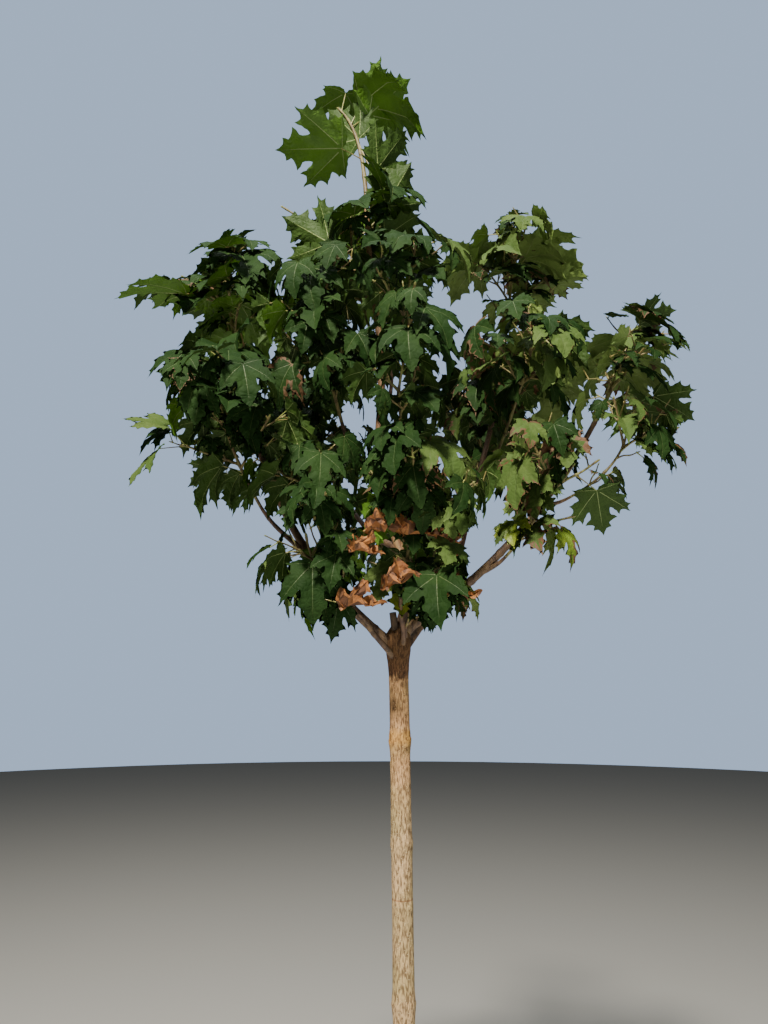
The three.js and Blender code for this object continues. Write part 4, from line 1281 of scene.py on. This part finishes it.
def twig_tube(twig, keys):
    """A twig with a slight bend, a swelling at each pair of leaves, and a thin end."""
    steps = max(8, int(twig.length / 5))
    shares = np.linspace(0, 1, steps + 1)
    one, two = across(twig.way, UP if abs(twig.way[2]) < 0.9 else BACKWARD)
    bow = one * spread(2.2, *keys, 1) + two * spread(2.2, *keys, 2)
    points = [lerp(twig.node, twig.tip, s) + bow * sin(pi * s) * sin(2 * pi * s) for s in shares]
    marks = TWIG_NODES if twig.radius == TWIG_RADIUS else [0.6]
    radii = []
    for s in shares:
        swell = sum(exp(-(((s - mark) * twig.length / 4.5) ** 2)) for mark in marks)
        radii.append(twig.radius * (0.98 - 0.3 * s + 0.24 * swell + 0.3 * exp(-s * twig.length / 6)))
    return ringed(points, radii, 8)


def stem_tube(plant):
    steps = int(plant.stem.line.length() / 4)
    shares = np.linspace(0, 1, steps + 1)
    length = plant.stem.line.length()
    radii = []
    for t in shares:
        swell = sum(exp(-(((t - mark) * length / 5.5) ** 2)) for mark in plant.nodes)
        radii.append(plant.stem.radius(t) + 0.85 * swell)
    points = [plant.stem.line.point(t) for t in shares]
    points[0] = points[0] - plant.stem.line.direction(0) * 4
    return ringed(points, radii, 10)


twig_pieces = {}
for index, plant in enumerate(plants):
    tubes = [stem_tube(plant)]
    tubes += [twig_tube(twig, (index, number, 400)) for number, twig in enumerate(plant.twigs)]
    twig_pieces[plant.mass.name] = gathered(plant.mass.name + "_twigs", tubes)
bud_tubes = []
for plant in plants:
    line = plant.stem.line
    bud_tubes.append(bud(line.point(0.995), line.direction(1), 9, 2.6))
    bud_tubes += [bud(twig.tip - twig.way, twig.way, 6.5, 1.05 * twig.radius * 0.8) for twig in plant.twigs]
bud_piece = gathered("buds", bud_tubes)
print("triangles in stalks:", sum(len(piece.data.polygons) for piece in stalk_pieces.values()))
print("triangles in twigs:", sum(len(piece.data.polygons) for piece in twig_pieces.values()))

# %% [markdown]
# Young maple bark is smooth with a fine grain: shallow upright cracks, small raised dots that let it breathe,
# and a ring wherever a bud scale once sat. A bump in the material would vanish at the edge of the stem and in
# the exported mesh, so the relief is real. A flat grid is wrapped round the limb's line, its seam is merged
# and its ends are filled, and every point is then pushed in or out by a grain that runs along the limb.

# %% A grid wrapped round a limb
def wrapped_grid(name, line, end, radius_at, sides, step, grain, first=0.0):
    rings = max(6, math.ceil(line.length() * (end - first) / step))
    deselect()
    bpy.ops.mesh.primitive_grid_add(x_subdivisions=sides, y_subdivisions=rings, size=1)
    piece = bpy.context.object
    piece.name = piece.data.name = name
    flat = np.zeros(len(piece.data.vertices) * 3)
    piece.data.vertices.foreach_get("co", flat)
    flat = flat.reshape(-1, 3)
    chord = unit(line.point(end) - line.point(first))
    guide = BACKWARD if abs(chord[1]) < 0.75 else SIDEWAYS
    places = {}
    spots = np.zeros_like(flat)
    for i, (x, y, z) in enumerate(flat):
        t = first + (end - first) * (y + 0.5)
        if y not in places:
            one, two = across(line.direction(t), guide)
            places[y] = (line.point(t), one, two)
        middle, one, two = places[y]
        turn = 2 * pi * x
        radius = radius_at(t, turn) + grain(t, turn)
        spots[i] = middle + radius * (one * sin(turn) - two * cos(turn))
    spots[:, 2] = np.maximum(spots[:, 2], 0)
    piece.data.vertices.foreach_set("co", (spots * MM).ravel())
    bpy.ops.object.mode_set(mode="EDIT")
    bpy.ops.mesh.select_all(action="SELECT")
    bpy.ops.mesh.remove_doubles(threshold=2e-6)
    bpy.ops.mesh.select_all(action="SELECT")
    bpy.ops.mesh.fill_holes(sides=0)
    bpy.ops.mesh.select_all(action="SELECT")
    bpy.ops.mesh.normals_make_consistent(inside=False)
    bpy.ops.object.mode_set(mode="OBJECT")
    smooth(piece, 50)
    return piece


# %% The stem's bark
TRUNK_SIDES = 64
TRUNK_STEP = 3.5
GRAIN_DEPTH = 0.55
FLAKE_DEPTH = 0.5
WARTS = [(1486, 0.55, 3.2), (1235, 0.75, 2.4)]  # height up the stem, way it faces, and how far it swells


def trunk_grain(t, turn):
    z = t * TRUNK_HEIGHT
    around = Vector((cos(turn), sin(turn), 0))
    fine = noise.noise(around * 7 + Vector((0, 0, z * 0.018)))
    coarse = noise.noise(around * 2.4 + Vector((3, 0, z * 0.009)))
    flake = max(0, noise.noise(around * 4 + Vector((0, 7, z * 0.045))) - 0.22)
    rings = 0.0
    for at, swell, height in OLD_NODES:
        tilt = 3 * cos(turn + at)
        rings += swell * 0.35 * exp(-(((z - at - tilt) / 2.2) ** 2))
        rings -= swell * 0.22 * exp(-(((z - at - tilt - 5) / 2.4) ** 2))
    warts = 1.1 * max(0, noise.noise(around * 3 + Vector((9, 0, z * 0.07)))) * exp(-(((z - 1650) / 40) ** 2))
    for at, way, height in WARTS:
        warts += height * exp(-(((z - at) / 7) ** 2) - ((1 - cos(turn - way)) / 0.12))
    foot = min(1, z / 4)
    return (GRAIN_DEPTH * (fine + 0.6 * coarse) + FLAKE_DEPTH * flake + rings + warts) * foot


trunk_piece = wrapped_grid("trunk_bark", trunk_line, 1, trunk_radius, TRUNK_SIDES, TRUNK_STEP, trunk_grain)
print("triangles in the stem:", sum(len(face.vertices) - 2 for face in trunk_piece.data.polygons))

# %% [markdown]
# The boughs are younger. Their bark is tight and satin, with a pair of old leaf scars every hand's breadth,
# each a low ring, and a collar where the bough leaves its parent.

# %% Leader and boughs
BOUGH_SIDES = 20
BOUGH_STEP = 4
SCAR_SPACING = 74


def shoot_radius(limb, parent_radius, number):
    length = limb.line.length()

    def radius_at(t, turn):
        along = t * length
        collar = 0.34 * exp(-(((along - parent_radius) / 11) ** 2))
        ring = abs((along + 17 * number) % SCAR_SPACING - SCAR_SPACING / 2)
        scar = 0.13 * exp(-((ring / 4.5) ** 2)) - 0.05 * exp(-(((ring - 6) / 2) ** 2))
        return limb.radius(t) * (1 + collar + scar)

    return radius_at


def shoot_grain(number):
    def grain(t, turn):
        around = Vector((cos(turn), sin(turn), number * 3.7))
        return 0.22 * noise.noise(around * 3 + Vector((0, 0, t * 16)))

    return grain


limb_pieces = {"trunk": trunk_piece}
parents = {mass.name: mass.limb for mass in MASSES}
for number, (name, limb) in enumerate(limbs.items()):
    if name == "trunk":
        continue
    parent = parents.get(name, "trunk")
    parent_radius = TRUNK_RADIUS_HIGH if parent == "trunk" else 5
    label = "leader_bark" if name == "leader" else name + "_bough_bark"
    limb_pieces[name] = wrapped_grid(
        label, limb.line, limb.end, shoot_radius(limb, parent_radius, number), BOUGH_SIDES, BOUGH_STEP,
        shoot_grain(number),
    )
stub_pieces = []
for number, (foot, tip, radius) in enumerate(STUBS):
    line = straight(np.array(foot, float), np.array(tip, float))
    stub_pieces.append(wrapped_grid(
        f"pruned_stub_{number}", line, 1, lambda t, turn, r=radius: r * (1 - 0.1 * t * t), 24, 2,
        shoot_grain(40 + number),
    ))
print("limb pieces:", len(limb_pieces) + len(stub_pieces))

# %% [markdown]
# All finishes share two effects. Skin with soft patches serves every leaf, and grain with specks serves every
# bark. Each effect is one node group with named sockets, so a shade is a set of values and not a new web of
# nodes.

# %% Node groups
def new_group(name, inputs, outputs):
    group = bpy.data.node_groups.new(name, "ShaderNodeTree")
    for label, kind, value in inputs:
        socket = group.interface.new_socket(label, in_out="INPUT", socket_type=kind)
        socket.default_value = value
    for label, kind in outputs:
        group.interface.new_socket(label, in_out="OUTPUT", socket_type=kind)
    return group, group.nodes.new("NodeGroupInput"), group.nodes.new("NodeGroupOutput")


def feed(group, value, socket):
    """A socket gets a fixed value, or what another node puts out."""
    if isinstance(value, (int, float, tuple)):
        socket.default_value = value
    else:
        group.links.new(value, socket)


def add_noise(group, vector, scale, detail):
    node = group.nodes.new("ShaderNodeTexNoise")
    node.inputs["Detail"].default_value = detail
    group.links.new(vector, node.inputs["Vector"])
    feed(group, scale, node.inputs["Scale"])
    return node.outputs["Fac"]


def add_stretch(group, place, scale):
    node = group.nodes.new("ShaderNodeMapping")
    node.inputs["Scale"].default_value = scale
    group.links.new(place, node.inputs["Vector"])
    return node.outputs["Vector"]


def add_math(group, operation, *values):
    node = group.nodes.new("ShaderNodeMath")
    node.operation = operation
    for value, socket in zip(values, node.inputs):
        feed(group, value, socket)
    return node.outputs[0]


def add_range(group, value, low, high, to_low, to_high):
    node = group.nodes.new("ShaderNodeMapRange")
    for label, number in (("From Min", low), ("From Max", high), ("To Min", to_low), ("To Max", to_high)):
        feed(group, number, node.inputs[label])
    group.links.new(value, node.inputs["Value"])
    return node.outputs["Result"]


def add_mix(group, share, one, two, blend="MIX"):
    node = group.nodes.new("ShaderNodeMix")
    node.data_type = "RGBA"
    node.blend_type = blend
    group.links.new(share, node.inputs["Factor"])
    feed(group, one, node.inputs[6])
    feed(group, two, node.inputs[7])
    return node.outputs[2]


def add_bump(group, height, strength, distance):
    node = group.nodes.new("ShaderNodeBump")
    node.inputs["Strength"].default_value = strength
    node.inputs["Distance"].default_value = distance
    group.links.new(height, node.inputs["Height"])
    return node.outputs["Normal"]


COLOUR, NUMBER, WAY = "NodeSocketColor", "NodeSocketFloat", "NodeSocketVector"


def build_skin():
    """Soft patches of a second colour, a quilt of small cells, and shine that varies with the patches."""
    group, given, out = new_group(
        "Leaf skin",
        [("Colour", COLOUR, (0.1, 0.2, 0.1, 1)), ("Patch colour", COLOUR, (0.2, 0.3, 0.1, 1)),
         ("Patch size", NUMBER, 22.0), ("Low roughness", NUMBER, 0.3), ("High roughness", NUMBER, 0.5)],
        [("Colour", COLOUR), ("Roughness", NUMBER), ("Normal", WAY)],
    )
    place = group.nodes.new("ShaderNodeTexCoord").outputs["Object"]
    patches = add_noise(group, place, given.outputs["Patch size"], 3)
    share = add_range(group, patches, 0.38, 0.66, 0, 1)
    colour = add_mix(group, share, given.outputs["Colour"], given.outputs["Patch colour"])
    group.links.new(colour, out.inputs["Colour"])
    shine = add_range(group, patches, 0, 1, given.outputs["Low roughness"], given.outputs["High roughness"])
    group.links.new(shine, out.inputs["Roughness"])
    wander = group.nodes.new("ShaderNodeVectorMath")
    wander.operation = "MULTIPLY_ADD"
    crease = group.nodes.new("ShaderNodeTexNoise")
    crease.inputs["Scale"].default_value = 60
    group.links.new(place, crease.inputs["Vector"])
    group.links.new(crease.outputs["Color"], wander.inputs[0])
    wander.inputs[1].default_value = (0.012, 0.012, 0.012)
    group.links.new(place, wander.inputs[2])
    cells = group.nodes.new("ShaderNodeTexVoronoi")
    cells.feature = "DISTANCE_TO_EDGE"
    cells.inputs["Scale"].default_value = 105
    group.links.new(wander.outputs["Vector"], cells.inputs["Vector"])
    quilt = add_range(group, cells.outputs["Distance"], 0.0, 0.32, 0, 1)
    group.links.new(add_bump(group, quilt, 0.45, 0.0014), out.inputs["Normal"])
    return group


def build_bark():
    """Upright grain, broad weathered patches, and pale specks."""
    group, given, out = new_group(
        "Bark skin",
        [("Colour", COLOUR, (0.3, 0.2, 0.1, 1)), ("Crack colour", COLOUR, (0.1, 0.08, 0.05, 1)),
         ("Patch colour", COLOUR, (0.3, 0.3, 0.2, 1)), ("Speck colour", COLOUR, (0.5, 0.45, 0.3, 1)),
         ("Grain", NUMBER, 120.0), ("Patch size", NUMBER, 16.0), ("Roughness", NUMBER, 0.7)],
        [("Colour", COLOUR), ("Roughness", NUMBER), ("Normal", WAY)],
    )
    place = group.nodes.new("ShaderNodeTexCoord").outputs["Object"]
    grain = add_noise(group, add_stretch(group, place, (1, 1, 0.24)), given.outputs["Grain"], 5)
    patches = add_noise(group, place, given.outputs["Patch size"], 3)
    colour = add_mix(group, add_range(group, patches, 0.42, 0.62, 0, 0.75), given.outputs["Colour"],
                     given.outputs["Patch colour"])
    colour = add_mix(group, add_range(group, grain, 0.58, 0.4, 0, 0.9), colour, given.outputs["Crack colour"])
    dots = group.nodes.new("ShaderNodeTexVoronoi")
    dots.inputs["Scale"].default_value = 260
    group.links.new(add_stretch(group, place, (0.7, 0.7, 1.2)), dots.inputs["Vector"])
    specks = add_range(group, dots.outputs["Distance"], 0.24, 0.12, 0, 0.65)
    colour = add_mix(group, specks, colour, given.outputs["Speck colour"])
    group.links.new(colour, out.inputs["Colour"])
    rough = add_math(group, "MULTIPLY_ADD", patches, 0.2, given.outputs["Roughness"])
    group.links.new(rough, out.inputs["Roughness"])
    height = add_math(group, "ADD", grain, add_range(group, dots.outputs["Distance"], 0.24, 0.1, 0, 0.35))
    group.links.new(add_bump(group, height, 0.55, 0.0016), out.inputs["Normal"])
    return group


skin_group = build_skin()
bark_group = build_bark()


# %% Materials from the groups
def new_finish(name, group, values, specular=0.5):
    finish = bpy.data.materials.new(name)
    finish.use_nodes = True
    tree = finish.node_tree
    shader = tree.nodes["Principled BSDF"]
    effect = tree.nodes.new("ShaderNodeGroup")
    effect.node_tree = group
    for label, value in values.items():
        effect.inputs[label].default_value = value
    for label, target in (("Colour", "Base Color"), ("Roughness", "Roughness"), ("Normal", "Normal")):
        tree.links.new(effect.outputs[label], shader.inputs[target])
    shader.inputs["Specular IOR Level"].default_value = specular
    return finish


def leaf_finish(name, colour, patch, low, high, specular=0.5):
    values = {"Colour": (*colour, 1), "Patch colour": (*patch, 1),
              "Low roughness": low, "High roughness": high}
    return new_finish(name, skin_group, values, specular)


def bark_finish(name, colour, crack, patch, speck, grain, rough):
    values = {"Colour": (*colour, 1), "Crack colour": (*crack, 1), "Patch colour": (*patch, 1),
              "Speck colour": (*speck, 1), "Grain": grain, "Roughness": rough}
    return new_finish(name, bark_group, values)


LEAF_LOOKS = {  # colour, colour of the patches, lowest and highest roughness, and how much it mirrors
    # The deep green and the full green are a shaded and a sunlit copy of the upper side; the deep one is dealt
    # mostly on the crown's shaded side, as painted shade.
    "leaf_deep": ((0.01, 0.032, 0.006), (0.02, 0.05, 0.011), 0.64, 0.78, 0.12),
    "leaf_full": ((0.058, 0.105, 0.023), (0.09, 0.142, 0.036), 0.62, 0.76, 0.16),
    "leaf_fresh": ((0.14, 0.22, 0.02), (0.22, 0.27, 0.022), 0.45, 0.6),
    "leaf_scorched": ((0.125, 0.06, 0.024), (0.075, 0.045, 0.018), 0.6, 0.8),
    "leaf_dried": ((0.4, 0.165, 0.048), (0.24, 0.085, 0.025), 0.55, 0.8),
    # The darker brown of a dried blade's stripes: painted shade in its crumples, and darker patches.
    "leaf_dried_deep": ((0.15, 0.06, 0.022), (0.08, 0.03, 0.014), 0.55, 0.8),
    "leaf_under": ((0.04, 0.085, 0.013), (0.03, 0.065, 0.011), 0.55, 0.7, 0.25),
    # Undersides with painted light, the sun shining through them: bright green, and olive on the sunny side.
    "leaf_under_bright": ((0.09, 0.205, 0.016), (0.065, 0.15, 0.012), 0.5, 0.65, 0.35),
    "leaf_under_olive": ((0.2, 0.3, 0.075), (0.14, 0.22, 0.05), 0.5, 0.65, 0.35),
    "leaf_vein": ((0.05, 0.085, 0.024), (0.075, 0.11, 0.03), 0.5, 0.65),
    "leaf_vein_under": ((0.26, 0.34, 0.12), (0.3, 0.38, 0.14), 0.5, 0.65),
    "leaf_stalk": ((0.3, 0.36, 0.1), (0.36, 0.24, 0.1), 0.4, 0.55),
    "bud_scale": ((0.2, 0.2, 0.06), (0.26, 0.28, 0.09), 0.4, 0.55),
}
BARK_LOOKS = {  # colours of the bark, its cracks, patches and specks, fineness of the grain, and roughness
    "trunk_bark": (
        (0.66, 0.45, 0.24), (0.14, 0.085, 0.04), (0.47, 0.37, 0.165), (0.8, 0.66, 0.42), 430, 0.75),
    "leader_bark": (
        (0.42, 0.23, 0.12), (0.2, 0.1, 0.055), (0.33, 0.26, 0.1), (0.5, 0.38, 0.25), 170, 0.5),
    "bough_bark": (
        (0.17, 0.095, 0.06), (0.07, 0.04, 0.03), (0.2, 0.13, 0.065), (0.33, 0.24, 0.16), 170, 0.5),
    "twig_bark": (
        (0.24, 0.2, 0.075), (0.12, 0.08, 0.04), (0.28, 0.3, 0.1), (0.36, 0.3, 0.16), 190, 0.45),
    "pruned_wood": (
        (0.1, 0.065, 0.045), (0.03, 0.02, 0.016), (0.16, 0.11, 0.075), (0.2, 0.15, 0.1), 140, 0.8),
}
finishes = {name: leaf_finish(name, *look) for name, look in LEAF_LOOKS.items()}
finishes |= {name: bark_finish(name, *look) for name, look in BARK_LOOKS.items()}


# %% Heights on the stem
def height_share(tree, low, high, ragged):
    """A share that goes from 0 to 1 between two heights in metres, with a ragged border."""
    place = tree.nodes.new("ShaderNodeTexCoord").outputs["Object"]
    height = tree.nodes.new("ShaderNodeSeparateXYZ")
    tree.links.new(place, height.inputs["Vector"])
    wander = add_math(tree, "MULTIPLY_ADD", add_noise(tree, place, 90, 3), ragged, height.outputs["Z"])
    return add_range(tree, wander, low + ragged / 2, high + ragged / 2, 0, 1)


def tint_by_height(finish, bands):
    """Each band is a colour over the bark's own between two pairs of heights."""
    tree = finish.node_tree
    shader = tree.nodes["Principled BSDF"]
    colour = shader.inputs["Base Color"].links[0].from_socket
    for tone, amount, rise, fall, ragged in bands:
        share = height_share(tree, *rise, ragged)
        if fall:
            share = add_math(tree, "MULTIPLY", share, height_share(tree, fall[1], fall[0], ragged))
        weight = add_math(tree, "MULTIPLY", share, amount)
        colour = add_mix(tree, weight, colour, (*tone, 1), "MULTIPLY")
    tree.links.new(colour, shader.inputs["Base Color"])


STEM_BANDS_AND_SHADOW = [  # tone, amount, heights where it begins and where it ends, raggedness
    ((1.0, 0.8, 0.68), 0.8, (1.36, 1.46), None, 0.03),
    ((1.0, 0.86, 0.45), 0.8, (1.478, 1.49), (1.505, 1.515), 0.02),
    ((0.62, 0.42, 0.34), 0.7, (1.245, 1.2455), (1.2475, 1.248), 0.002),
    # The top band darkens the head of the stem: painted shadow of the crown, with a ragged edge like the
    # leaves' shadow, over bark that is older and darker there.
    ((0.3, 0.23, 0.21), 0.95, (1.594, 1.604), None, 0.03),
]
tint_by_height(finishes["trunk_bark"], STEM_BANDS_AND_SHADOW)

# %% Every piece gets its finish, rides on the tree and stands for its solids
for plant in plants:
    name = plant.mass.name
    blades, stalks, twigs = leaf_pieces[name], stalk_pieces[name], twig_pieces[name]
    for tint in TINTS:
        blades.data.materials.append(finishes[tint])
    stalks.data.materials.append(finishes["leaf_stalk"])
    twigs.data.materials.append(finishes["twig_bark"])
    for piece, slot in ((blades, "leaf"), (stalks, "leaf"), (twigs, "shoot")):
        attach(piece, "root")
        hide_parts(name + "_leaves")
bud_piece.data.materials.append(finishes["bud_scale"])
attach(bud_piece, "root")
for name, piece in limb_pieces.items():
    bark = {"trunk": "trunk_bark", "leader": "leader_bark"}.get(name, "bough_bark")
    piece.data.materials.append(finishes[bark])
    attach(piece, "root")
    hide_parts(name if name in ("trunk", "leader") else name + "_bough")
for piece in stub_pieces:
    piece.data.materials.append(finishes["pruned_wood"])
    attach(piece, "root")
